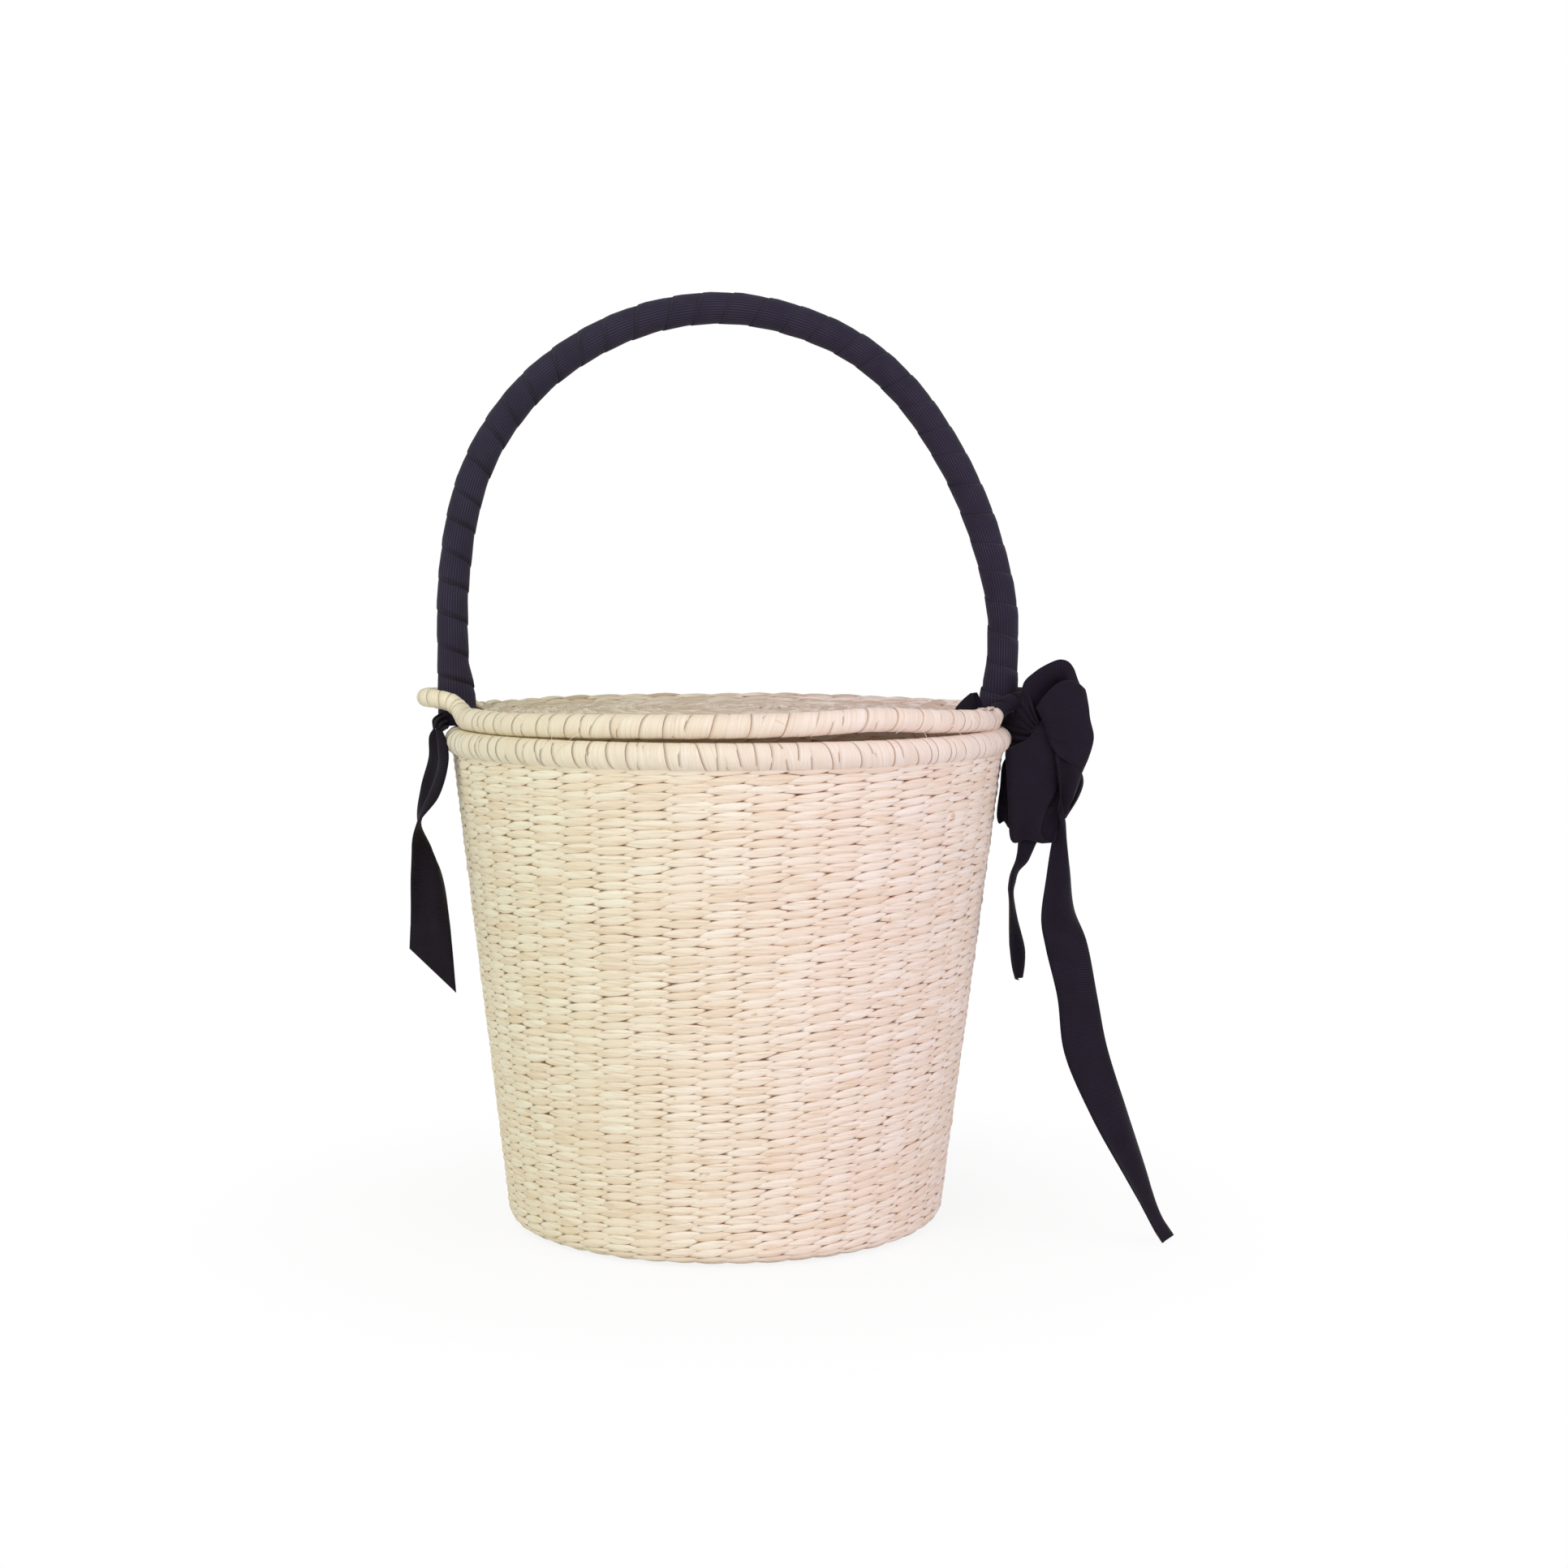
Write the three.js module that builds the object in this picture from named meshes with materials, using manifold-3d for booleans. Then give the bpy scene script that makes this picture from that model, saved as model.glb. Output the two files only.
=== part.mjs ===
// A round straw basket with a lid that is threaded on a ribbon-wrapped handle, and a ribbon bow.
// Millimetres. The basket stands on z = 0 with its axis along +Z, its front at -Y and the bow at +X.
import * as THREE from "three";
import { mergeVertices } from "three/addons/utils/BufferGeometryUtils.js";
import Module from "manifold-3d";

const wasm = await Module();
wasm.setup();

// Clearances
const TOUCH = 0.3; // between two pieces that lie on each other
const SNUG = 0.35; // between a piece and the slot that it is pushed into
const EAR_ROOM = 1.2; // between the handle and the strands of an ear, so that the lid slides

// The rim: a cane hoop beside the wall's top edge, both wrapped in palm strip
const RIM_RADIUS = 132.8; // to the middle of the wrapped tube
const RIM_HEIGHT = 237.3;
const RIM_TUBE = 12.6; // diameter over the wrapping
const WRAP = 1.2; // thickness of the wrapping
const HOOP_CANE = 4; // diameter of the cane hoops

// The twined body: a flat base that bends up into a wall that flares in a straight line
const BASE_THICKNESS = 5;
const FLOOR_RADIUS = 101; // the part of the base that touches the floor
const BASE_LAP = 1; // how far the wall's foot reaches in under the basket
const CORNER = 7.4; // radius of the bend from base to wall
const WALL = 5.5;
const WALL_PROUD = 3.65; // how far the wall's face stands out from the middle of the rim
const LEAN = 2; // how far the hand-made body stands out of true: its base lies this far to the left
const EDGE_THICKNESS = 2.7; // the wall's top edge, where only the stakes run on into the binding
const EDGE_ABOVE = 2.2; // how far that edge reaches above the middle of the rim

// The twining, drawn with one row for every nine of its own
const RELIEF = 1.2; // how far a stitch stands out from the place where two stitches meet
const WALL_STITCHES = 48; // all round, as on the basket
const WALL_ROWS = 12;
const LID_STITCHES = 24;
const LID_ROWS = 6;

// The lid: a twined disc in a wrapped hoop that runs out into an ear at each handle leg
const LID_INSET = 2.8; // how much smaller the lid's hoop is than the rim
const LID_TUBE = 10.8;
const LID_THICKNESS = 4;
const LID_EDGE = 2; // the disc's edge inside the wrapping
const LID_RISE = 3; // how far the middle of the disc bulges up
const EAR_HALF = 24; // distance from the X axis at which the ear's own wrapping begins
const EAR_TUBE = 8.8;
const EAR_RISE = 8.6; // how far the ear stands above the lid's hoop
const EAR_CORD = 4; // the thin strand on the ear's inner side
const NOTCH_HALF = 28; // half the width of the notch that the disc leaves for an ear

// The handle: one bent cane under a spiral of ribbon, its ends shaved flat and pushed into the wall
const LEG_PROUD = 2.4; // how far each leg stands out from the middle of the rim
const HANDLE_TOP = 446.9; // height of the cane's middle at the top of the arch
const HANDLE_CANE = 13.2;
const HANDLE_OVER_RIBBON = 15.6;
const FOOT_FLARE = 3.6; // how far the last turns of ribbon stand out at the foot
const FLARE_HEIGHT = 34; // height above the rim at which they begin to stand out
const TANG_THICKNESS = 2.2;
const TANG_WIDTH = 8.6;
const TANG_LENGTH = 37; // below the rim, along the leaning wall
const TANG_LAP = 3; // how far the tang is part of the leg above the rim

// The ribbon
const RIBBON = 0.8;
const RIBBON_WIDTH = 22; // the bow's loops and tails grow with it
const KNOT_OUT = 17.1; // from the leg's middle line
const KNOT_FORWARD = 18.5;
const KNOT_RISE = 3.7; // above the middle of the rim
const PINCH_OUT = 6.8; // the same for the place where the tail on the left is pinched
const PINCH_FORWARD = 26;
const PINCH_RISE = 1.7;

const RING_SIDES = 60;
const UP = new THREE.Vector3(0, 0, 1);
const BACK = new THREE.Vector3(0, 1, 0);

const rimTop = RIM_HEIGHT + RIM_TUBE / 2;
const lidRadius = RIM_RADIUS - LID_INSET;
const lidLift = Math.sqrt((RIM_TUBE / 2 + LID_TUBE / 2 + TOUCH) ** 2 - LID_INSET ** 2);
const lidHeight = RIM_HEIGHT + lidLift;
const legRadius = RIM_RADIUS + LEG_PROUD;
const earReach = legRadius + HANDLE_OVER_RIBBON / 2 + EAR_ROOM + EAR_TUBE / 2;
const earCordRadius = legRadius - HANDLE_OVER_RIBBON / 2 - FOOT_FLARE - EAR_ROOM - EAR_CORD / 2;

const vector = ([x, y, z]) => new THREE.Vector3(x, y, z);
const rad = THREE.MathUtils.degToRad;

// Solids and booleans

function solidOf(geometry) {
  const bare = geometry.clone();
  bare.deleteAttribute("normal");
  bare.deleteAttribute("uv");
  const merged = mergeVertices(bare, 1e-4);
  const mesh = new wasm.Mesh({
    numProp: 3,
    vertProperties: new Float32Array(merged.attributes.position.array),
    triVerts: new Uint32Array(merged.index.array),
  });
  return new wasm.Manifold(mesh);
}

function geometryOf(solid) {
  const mesh = solid.getMesh();
  const positions = new Float32Array(mesh.numVert * 3);
  for (let i = 0; i < mesh.numVert; i++) {
    positions.set(mesh.vertProperties.subarray(i * mesh.numProp, i * mesh.numProp + 3), i * 3);
  }
  const geometry = new THREE.BufferGeometry();
  geometry.setAttribute("position", new THREE.BufferAttribute(positions, 3));
  geometry.setIndex(new THREE.BufferAttribute(new Uint32Array(mesh.triVerts), 1));
  return geometry;
}

// Turns the faces round when they point inwards.
function facingOut(geometry) {
  if (solidOf(geometry).volume() < 0) {
    const index = geometry.index.array;
    for (let i = 0; i < index.length; i += 3) {
      [index[i + 1], index[i + 2]] = [index[i + 2], index[i + 1]];
    }
  }
  return geometry;
}

// Joins one ring of points per station into a closed skin. The cap is the section in its own plane.
function skin(rings, cap) {
  const around = rings[0].length;
  const index = [];
  const steps = cap ? rings.length - 1 : rings.length;
  for (let i = 0; i < steps; i++) {
    const next = (i + 1) % rings.length;
    for (let j = 0; j < around; j++) {
      const k = (j + 1) % around;
      index.push(i * around + j, i * around + k, next * around + k);
      index.push(i * around + j, next * around + k, next * around + j);
    }
  }
  if (cap) {
    const outline = cap.map(([a, b]) => new THREE.Vector2(a, b));
    const last = (rings.length - 1) * around;
    const clockwise = THREE.ShapeUtils.isClockWise(outline);
    for (const [a, b, c] of THREE.ShapeUtils.triangulateShape(outline, [])) {
      const [p, q] = clockwise ? [c, b] : [b, c];
      index.push(a, q, p);
      index.push(last + a, last + p, last + q);
    }
  }
  const geometry = new THREE.BufferGeometry();
  const positions = rings.flat().flatMap((p) => [p.x, p.y, p.z]);
  geometry.setAttribute("position", new THREE.Float32BufferAttribute(positions, 3));
  geometry.setIndex(index);
  return facingOut(geometry);
}

// Sweeps a section along stations. Each station is a point with the two directions of its section plane.
function swept(stations, section, closed = false) {
  const rings = stations.map((station, i) => {
    const points = typeof section === "function" ? section(station, i) : section;
    const { at, side, up } = station;
    return points.map(([a, b]) => at.clone().addScaledVector(side, a).addScaledVector(up, b));
  });
  const cap = typeof section === "function" ? section(stations[0], 0) : section;
  return skin(rings, closed ? null : cap);
}

// Stations along points, each section plane square to the path and with one direction square to `level`.
function stationsAlong(points, level, closed = false) {
  const count = points.length;
  return points.map((at, i) => {
    const before = points[closed ? (i + count - 1) % count : Math.max(i - 1, 0)];
    const after = points[closed ? (i + 1) % count : Math.min(i + 1, count - 1)];
    const along = after.clone().sub(before).normalize();
    const side = along.clone().cross(level).normalize();
    return { at, side, up: side.clone().cross(along).normalize() };
  });
}

// A round section, from one angle to another in degrees.
function arc(radius, from, to, steps) {
  const points = [];
  for (let i = 0; i <= steps; i++) {
    const angle = rad(from + ((to - from) * i) / steps);
    points.push([radius * Math.cos(angle), radius * Math.sin(angle)]);
  }
  return points;
}

const round = (radius, sides) => arc(radius, 0, 360, sides).slice(0, sides);

// A wrapping: a tube section with a slit, between two angles, through which a woven edge runs in.
function wrapSection(radius, slitEnd, slitStart, outerSteps, innerSteps) {
  const outside = arc(radius, slitEnd, slitStart, outerSteps);
  const inside = arc(radius - WRAP, slitEnd, slitStart, innerSteps);
  return [...outside, ...inside.reverse()];
}

function ringStations(radius, height) {
  const stations = [];
  for (let i = 0; i < RING_SIDES; i++) {
    const angle = (2 * Math.PI * i) / RING_SIDES;
    const side = new THREE.Vector3(Math.cos(angle), Math.sin(angle), 0);
    stations.push({ at: side.clone().multiplyScalar(radius).setZ(height), side, up: UP });
  }
  return stations;
}

// A prism from an outline in the XZ plane, centred on y = 0.
function slab(outline, depth) {
  const shape = new THREE.Shape(outline.map(([x, z]) => new THREE.Vector2(x, z)));
  const prism = new THREE.ExtrudeGeometry(shape, { depth, bevelEnabled: false });
  return prism.rotateX(Math.PI / 2).translate(0, depth / 2, 0);
}

const mirrored = (outline) => outline.map(([x, z]) => [-x, z]);

function cutFrom(geometry, cutters) {
  return geometryOf(cutters.reduce((solid, cutter) => solid.subtract(solidOf(cutter)), solidOf(geometry)));
}

// The body

const wallFoot = FLOOR_RADIUS + CORNER;
const flare = (RIM_RADIUS + WALL_PROUD - wallFoot) / (RIM_HEIGHT - CORNER);
const wallOutside = (height) => wallFoot + flare * (height - CORNER);
const shoulder = RIM_HEIGHT - RIM_TUBE / 2 - 2 * TOUCH; // where the wall thins to its edge
const edgeInside = wallOutside(shoulder) - WALL + TOUCH;
const edgeTop = RIM_HEIGHT + EDGE_ABOVE;
const tangRadius = edgeInside + EDGE_THICKNESS / 2;

// The shape of a tang in the XZ plane, widened on every side by `room`. Below the wall's shoulder it
// follows the leaning wall.
function tangOutline(room, top) {
  const half = TANG_THICKNESS / 2 + room;
  const bendAt = shoulder - half;
  const end = shoulder - TANG_LENGTH;
  const foot = wallOutside(end) - WALL / 2;
  return [
    [tangRadius - half, top],
    [tangRadius - half, bendAt],
    [foot - half, end - room],
    [foot + half, end - room],
    [tangRadius + half, bendAt],
    [tangRadius + half, top],
  ];
}

// Turns an outline of radii and heights round the axis.
function turned(outline) {
  const lathe = new THREE.LatheGeometry(outline.map(([r, z]) => new THREE.Vector2(r, z)), RING_SIDES);
  return lathe.rotateX(Math.PI / 2).rotateZ(-Math.PI / 2);
}

// Leaves out the faces that have shrunk to a line where an outline touches the axis.
function withoutSlivers(geometry) {
  const merged = mergeVertices(geometry, 1e-4);
  const kept = [];
  for (let i = 0; i < merged.index.count; i += 3) {
    const corners = [0, 1, 2].map((k) => merged.index.array[i + k]);
    if (new Set(corners).size === 3) {
      kept.push(...corners);
    }
  }
  return merged.setIndex(kept);
}

// Turns an outline round the axis with the relief of twining. A point's third and fourth numbers say how
// far it sinks, inwards and down, where two stitches meet. Each row is set off by half a stitch, like
// bricks.
function twined(outline, stitches, isPlain = () => false) {
  const rings = [];
  for (let i = 0; i < 2 * stitches; i++) {
    const angle = (Math.PI * i) / stitches;
    const ring = outline.map(([radius, height, inwards = 0, down = 0], row) => {
      const depth = (i + row) % 2 === 1 && !isPlain(angle, height) ? 1 : 0;
      const out = radius - inwards * depth;
      return new THREE.Vector3(out * Math.cos(angle), out * Math.sin(angle), height - down * depth);
    });
    rings.push(ring);
  }
  return facingOut(withoutSlivers(skin(rings, null)));
}

// Leans a piece of the body over, with the rim's plane where it is.
function leaning(geometry) {
  const lean = new THREE.Matrix4().makeShear(0, 0, 0, 0, LEAN / RIM_HEIGHT, 0);
  return geometry.translate(0, 0, -RIM_HEIGHT).applyMatrix4(lean).translate(0, 0, RIM_HEIGHT);
}

// The flat disc that is twined first.
function wovenBase() {
  const edge = FLOOR_RADIUS - BASE_LAP - TOUCH;
  return leaning(turned([[0, 0], [edge, 0], [edge, BASE_THICKNESS], [0, BASE_THICKNESS]]));
}

// The wall, from the bend round the base up to the edge inside the rim's wrapping.
function wovenWall() {
  const bend = arc(CORNER, -90, 0, 4).map(([a, b]) => [FLOOR_RADIUS + a, CORNER + b]);
  const insideBend = CORNER - WALL;
  const insideCorner = wallOutside(BASE_THICKNESS + insideBend) - WALL;
  const rowHeight = (shoulder - CORNER) / WALL_ROWS;
  const rows = [];
  for (let k = 1; k < WALL_ROWS; k++) {
    const height = CORNER + rowHeight * k;
    rows.push([wallOutside(height), height, RELIEF]);
  }
  const outline = [
    [FLOOR_RADIUS - BASE_LAP, 0],
    ...bend,
    ...rows,
    [wallOutside(shoulder), shoulder],
    [edgeInside + EDGE_THICKNESS, shoulder],
    [edgeInside + EDGE_THICKNESS, edgeTop],
    [edgeInside, edgeTop],
    [edgeInside, shoulder],
    [wallOutside(shoulder) - WALL, shoulder],
    [insideCorner, BASE_THICKNESS + insideBend],
    [FLOOR_RADIUS - BASE_LAP, BASE_THICKNESS],
  ];
  // The wall keeps its thickness outside the slots that hold the handle.
  const overSlot = (angle, height) =>
    Math.abs(Math.sin(angle)) * RIM_RADIUS < TANG_WIDTH / 2 && height > shoulder - TANG_LENGTH - rowHeight;
  const slot = tangOutline(SNUG, edgeTop + 1);
  const notch = [
    [edgeInside - 1, edgeTop + 1],
    [edgeInside - 1, shoulder - TOUCH],
    [edgeInside + EDGE_THICKNESS + 1, shoulder - TOUCH],
    [edgeInside + EDGE_THICKNESS + 1, edgeTop + 1],
  ];
  const width = TANG_WIDTH + 2 * SNUG;
  const cutters = [slot, mirrored(slot), notch, mirrored(notch)].map((shape) => slab(shape, width));
  return cutFrom(leaning(twined(outline, WALL_STITCHES, overSlot)), cutters);
}

function rimHoop() {
  const radius = RIM_RADIUS + RIM_TUBE / 2 - WRAP - TOUCH - HOOP_CANE / 2;
  return swept(ringStations(radius, RIM_HEIGHT), round(HOOP_CANE / 2, 8), true);
}

function rimBinding() {
  const section = wrapSection(RIM_TUBE / 2, -82, 228, 9, 8);
  const ring = swept(ringStations(RIM_RADIUS, RIM_HEIGHT), section, true);
  const half = TANG_THICKNESS / 2 + SNUG;
  const hole = [
    [tangRadius - half, edgeTop],
    [tangRadius + half, edgeTop],
    [tangRadius + half, rimTop + 1],
    [tangRadius - half, rimTop + 1],
  ];
  const width = TANG_WIDTH + 2 * SNUG;
  return cutFrom(ring, [slab(hole, width), slab(mirrored(hole), width)]);
}

// The lid

function lidPanel() {
  const edge = lidRadius - HOOP_CANE / 2 - 2 * TOUCH;
  const shoulder = lidRadius - LID_TUBE / 2 - TOUCH;
  const dome = (radius, offset) => [radius, lidHeight + offset + LID_RISE * (1 - (radius / shoulder) ** 2)];
  const rows = [];
  for (let k = LID_ROWS - 1; k > 0; k--) {
    rows.push([...dome((shoulder * k) / LID_ROWS, LID_THICKNESS / 2), 0, RELIEF]);
  }
  const outline = [
    dome(0, -LID_THICKNESS / 2),
    dome(shoulder / 2, -LID_THICKNESS / 2),
    dome(shoulder, -LID_THICKNESS / 2),
    [shoulder, lidHeight - LID_EDGE / 2],
    [edge, lidHeight - LID_EDGE / 2],
    [edge, lidHeight + LID_EDGE / 2],
    [shoulder, lidHeight + LID_EDGE / 2],
    dome(shoulder, LID_THICKNESS / 2),
    ...rows,
    dome(0, LID_THICKNESS / 2),
  ];
  const inner = earCordRadius - EAR_CORD / 2 - TOUCH;
  const notch = [
    [inner, lidHeight - LID_TUBE],
    [lidRadius + LID_TUBE, lidHeight - LID_TUBE],
    [lidRadius + LID_TUBE, lidHeight + LID_TUBE],
    [inner, lidHeight + LID_TUBE],
  ];
  const panel = twined(outline, LID_STITCHES);
  return cutFrom(panel, [slab(notch, 2 * NOTCH_HALF), slab(mirrored(notch), 2 * NOTCH_HALF)]);
}

// Half an ear, from the lid's circle to the outermost point, for the front of the bow side. Each point
// is given by its distance from the X axis, how far it has left the circle, and how far it has risen.
function halfEar() {
  const point = (across, out, rise) => {
    const y = across * EAR_HALF;
    const onCircle = Math.sqrt(lidRadius ** 2 - y ** 2);
    return [onCircle + out * (earReach - onCircle), -y, lidHeight + rise * EAR_RISE];
  };
  return [
    point(2, 0, 0),
    point(1.58, 0, 0),
    point(1.25, 0, 0.02),
    point(0.875, 0.07, 0.37),
    point(0.64, 0.28, 0.77),
    point(0.51, 0.62, 0.95),
    point(0.28, 0.9, 1),
    point(0, 1, 1),
  ];
}

// The points of one ear in order round the lid, from the front to the back on the bow side.
function earPoints() {
  const front = halfEar();
  const back = front.slice(0, -1).reverse().map(([x, y, z]) => [x, -y, z]);
  const curve = new THREE.CatmullRomCurve3([...front, ...back].map(vector), false, "centripetal");
  return curve.getPoints(24);
}

// The plain arc of the hoop between two ears, at the same angles as the rim's sides.
function lidArc() {
  const start = Math.asin((2 * EAR_HALF) / lidRadius);
  const spare = Math.PI / RING_SIDES;
  const points = [];
  for (let i = 0; i < RING_SIDES / 2; i++) {
    const angle = (2 * Math.PI * i) / RING_SIDES;
    if (angle > start + spare && angle < Math.PI - start - spare) {
      points.push(new THREE.Vector3(lidRadius * Math.cos(angle), lidRadius * Math.sin(angle), lidHeight));
    }
  }
  return points;
}

const halfTurn = (p) => new THREE.Vector3(-p.x, -p.y, p.z);

// The hoop's whole path: ear at the bow, back arc, ear on the left, front arc.
function lidLoop() {
  const ear = earPoints();
  const back = lidArc();
  return stationsAlong([...ear, ...back, ...ear.map(halfTurn), ...back.map(halfTurn)], UP, true);
}

const loop = lidLoop();
const onEar = (station) => Math.abs(station.at.y) < EAR_HALF;

// How thick the wrapped hoop is here: it narrows where it runs out into an ear.
function lidTubeAt(station) {
  const blend = THREE.MathUtils.smoothstep(Math.abs(station.at.y), EAR_HALF / 2, 1.33 * EAR_HALF);
  return THREE.MathUtils.lerp(EAR_TUBE, LID_TUBE, blend);
}

function lidHoop() {
  const section = round(HOOP_CANE / 2, 6);
  return swept(loop, section, true);
}

// The wrapping of the front arc, slit on the side of the disc.
function lidFrontBinding() {
  const fromLeftEar = loop.findLastIndex(onEar) + 1;
  const toBowEar = loop.findIndex(onEar);
  const stations = [...loop.slice(fromLeftEar), ...loop.slice(0, toBowEar)];
  return swept(stations, (station) => wrapSection(lidTubeAt(station) / 2, -154, 154, 9, 7));
}

function lidBackBinding() {
  return lidFrontBinding().rotateZ(Math.PI);
}

// The closed wrapping of the ear at the bow.
function earSleeve() {
  const stations = loop.filter((s) => onEar(s) && s.at.x > 0);
  const outer = solidOf(swept(stations, (s) => round(lidTubeAt(s) / 2, 10)));
  const inner = solidOf(swept(stationsAlong(lengthened(stations), UP), round(HOOP_CANE / 2 + TOUCH, 6)));
  return geometryOf(outer.subtract(inner));
}

// The same path with each end run on by a little, so that a bore comes out of both ends.
function lengthened(stations) {
  const points = stations.map((s) => s.at.clone());
  const [first, second] = points;
  const [beforeLast, last] = points.slice(-2);
  points.unshift(first.clone().add(first.clone().sub(second).setLength(2)));
  points.push(last.clone().add(last.clone().sub(beforeLast).setLength(2)));
  return points;
}

function earCord() {
  const half = NOTCH_HALF - 2 * EAR_CORD;
  const path = [
    [earCordRadius, -half, lidHeight],
    [earCordRadius, half, lidHeight],
  ];
  return swept(stationsAlong(path.map(vector), UP), round(EAR_CORD / 2, 8));
}

// The handle

// The middle line of the handle, from the left foot over the top to the foot at the bow. Each point is
// a share of the leg's distance from the axis and a share of the height from the rim to the top.
function handleCurve() {
  const foot = rimTop + TOUCH;
  const leftHalf = [
    [-1, 0],
    [-1, 0.09],
    [-1, 0.188],
    [-1, 0.287],
    [-0.988, 0.39],
    [-0.962, 0.498],
    [-0.916, 0.602],
    [-0.833, 0.71],
    [-0.676, 0.833],
    [-0.469, 0.927],
    [-0.24, 0.984],
  ];
  const bowHalf = [
    [0.004, 1],
    [0.242, 0.971],
    [0.462, 0.906],
    [0.643, 0.803],
    [0.777, 0.68],
    [0.861, 0.577],
    [0.925, 0.473],
    [0.973, 0.365],
    [1, 0.262],
    [1, 0.178],
    [1, 0.09],
    [1, 0],
  ];
  const rise = HANDLE_TOP - foot;
  const points = [...leftHalf, ...bowHalf].map(([out, up]) => vector([out * legRadius, 0, foot + up * rise]));
  return new THREE.CatmullRomCurve3(points, false, "centripetal");
}

const handleLine = handleCurve().getSpacedPoints(44);

function handleCore() {
  const cane = solidOf(swept(stationsAlong(handleLine, BACK), round(HANDLE_CANE / 2, 12)));
  const tang = tangOutline(0, rimTop + TANG_LAP);
  const tangs = [tang, mirrored(tang)].map((shape) => solidOf(slab(shape, TANG_WIDTH)));
  return geometryOf(cane.add(tangs[0]).add(tangs[1]));
}

// The ribbon's outside, which stands out on the inner side near each foot.
function handleRibbon() {
  const stations = stationsAlong(handleLine, BACK);
  const outside = swept(stations, (station) => {
    const height = station.at.z - rimTop;
    const nearFoot = 1 - height / FLARE_HEIGHT;
    const flared = FOOT_FLARE * THREE.MathUtils.smoothstep(nearFoot, 0, 0.6);
    return round(HANDLE_OVER_RIBBON / 2, 12).map(([a, b]) => {
      const facing = Math.max(0, -a / (HANDLE_OVER_RIBBON / 2));
      const reach = 1 + (flared * facing ** 2) / (HANDLE_OVER_RIBBON / 2);
      return [a * reach, b * reach];
    });
  });
  const bore = swept(stationsAlong(lengthened(stations), BACK), round(HANDLE_CANE / 2 + TOUCH, 12));
  return cutFrom(outside, [bore]);
}

// The ribbon's loose pieces

const knot = new THREE.Vector3(legRadius + KNOT_OUT, -KNOT_FORWARD, RIM_HEIGHT + KNOT_RISE);
const pinch = new THREE.Vector3(-legRadius - PINCH_OUT, -PINCH_FORWARD, RIM_HEIGHT + PINCH_RISE);
const drawnScale = RIBBON_WIDTH / 22; // the points below are drawn for ribbon 22 mm wide

// Points drawn round a place on the basket, in millimetres for ribbon of the drawn width.
const placed = (place, points) => points.map((p) => vector(p).multiplyScalar(drawnScale).add(place));

// A strip of ribbon between two edges, each a row of points down its length.
function ribbonBetween(firstEdge, secondEdge, steps) {
  const first = new THREE.CatmullRomCurve3(firstEdge, false, "centripetal");
  const second = new THREE.CatmullRomCurve3(secondEdge, false, "centripetal");
  const edges = [];
  for (let i = 0; i <= steps; i++) {
    edges.push([first.getPoint(i / steps), second.getPoint(i / steps)]);
  }
  const middle = ([a, b]) => a.clone().add(b);
  const rings = edges.map(([a, b], i) => {
    const before = edges[Math.max(i - 1, 0)];
    const after = edges[Math.min(i + 1, steps)];
    const along = middle(after).sub(middle(before));
    const normal = b.clone().sub(a).cross(along).setLength(RIBBON / 2);
    return [a.clone().sub(normal), b.clone().sub(normal), b.clone().add(normal), a.clone().add(normal)];
  });
  return skin(rings, [[0, 0], [1, 0], [1, 1], [0, 1]]);
}

// A narrow gathered band from the left foot, under the ear and over the rim.
function leftBand() {
  const first = [
    [2.9, 18.4, 11.4],
    [0.6, 14, 10.6],
    [-1.4, 8, 7.5],
    [-2.2, 3, 2.6],
  ];
  const second = [
    [2.2, 18.9, 6.2],
    [1, 13, 4.8],
    [1, 5, 2.2],
    [2.2, -3.4, 0.6],
  ];
  return ribbonBetween(placed(pinch, first), placed(pinch, second), 8);
}

// The tail on the left: it turns over once on its way down and is cut off at a slant.
function leftTail() {
  const first = [
    [-2.2, 2.6, 1.6],
    [-2.6, 2, -9],
    [-7, 3.6, -24],
    [-9.4, 11.5, -43],
    [1.6, 7, -65],
    [6.4, 1, -89],
    [9.4, 0, -124],
  ];
  const second = [
    [2.4, -3.2, -1.5],
    [7.6, -15.4, -11],
    [3, -12, -28],
    [-7.8, -10, -42],
    [-11, -5, -63],
    [-12.2, 0.5, -85],
    [-13.2, 2, -102.5],
  ];
  return ribbonBetween(placed(pinch, first), placed(pinch, second), 28);
}

function upperBand() {
  const first = [
    [-13.2, 10.9, 10.6],
    [-8.5, 6.3, 10.2],
    [-5.1, 3.3, 7.6],
  ];
  const second = [
    [-12.3, 11.5, 4],
    [-8.1, 7.1, 3.2],
    [-5.3, 4.3, 2.2],
  ];
  return ribbonBetween(placed(knot, first), placed(knot, second), 6);
}

function lowerBand() {
  const first = [
    [-10.7, 13.5, 2.4],
    [-10.3, 4.9, 2.4],
    [-5.3, 0.5, 1],
  ];
  const second = [
    [-11.3, 10.5, -6.6],
    [-11.1, 2.5, -7.6],
    [-5.3, -1.5, -4.6],
  ];
  return ribbonBetween(placed(knot, first), placed(knot, second), 6);
}

function bowKnot() {
  const [out, forward, up] = [0.2, 0.255, 0.236].map((share) => share * RIBBON_WIDTH);
  return new THREE.SphereGeometry(1, 12, 8).scale(out, forward, up).translate(knot.x, knot.y, knot.z);
}

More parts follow.
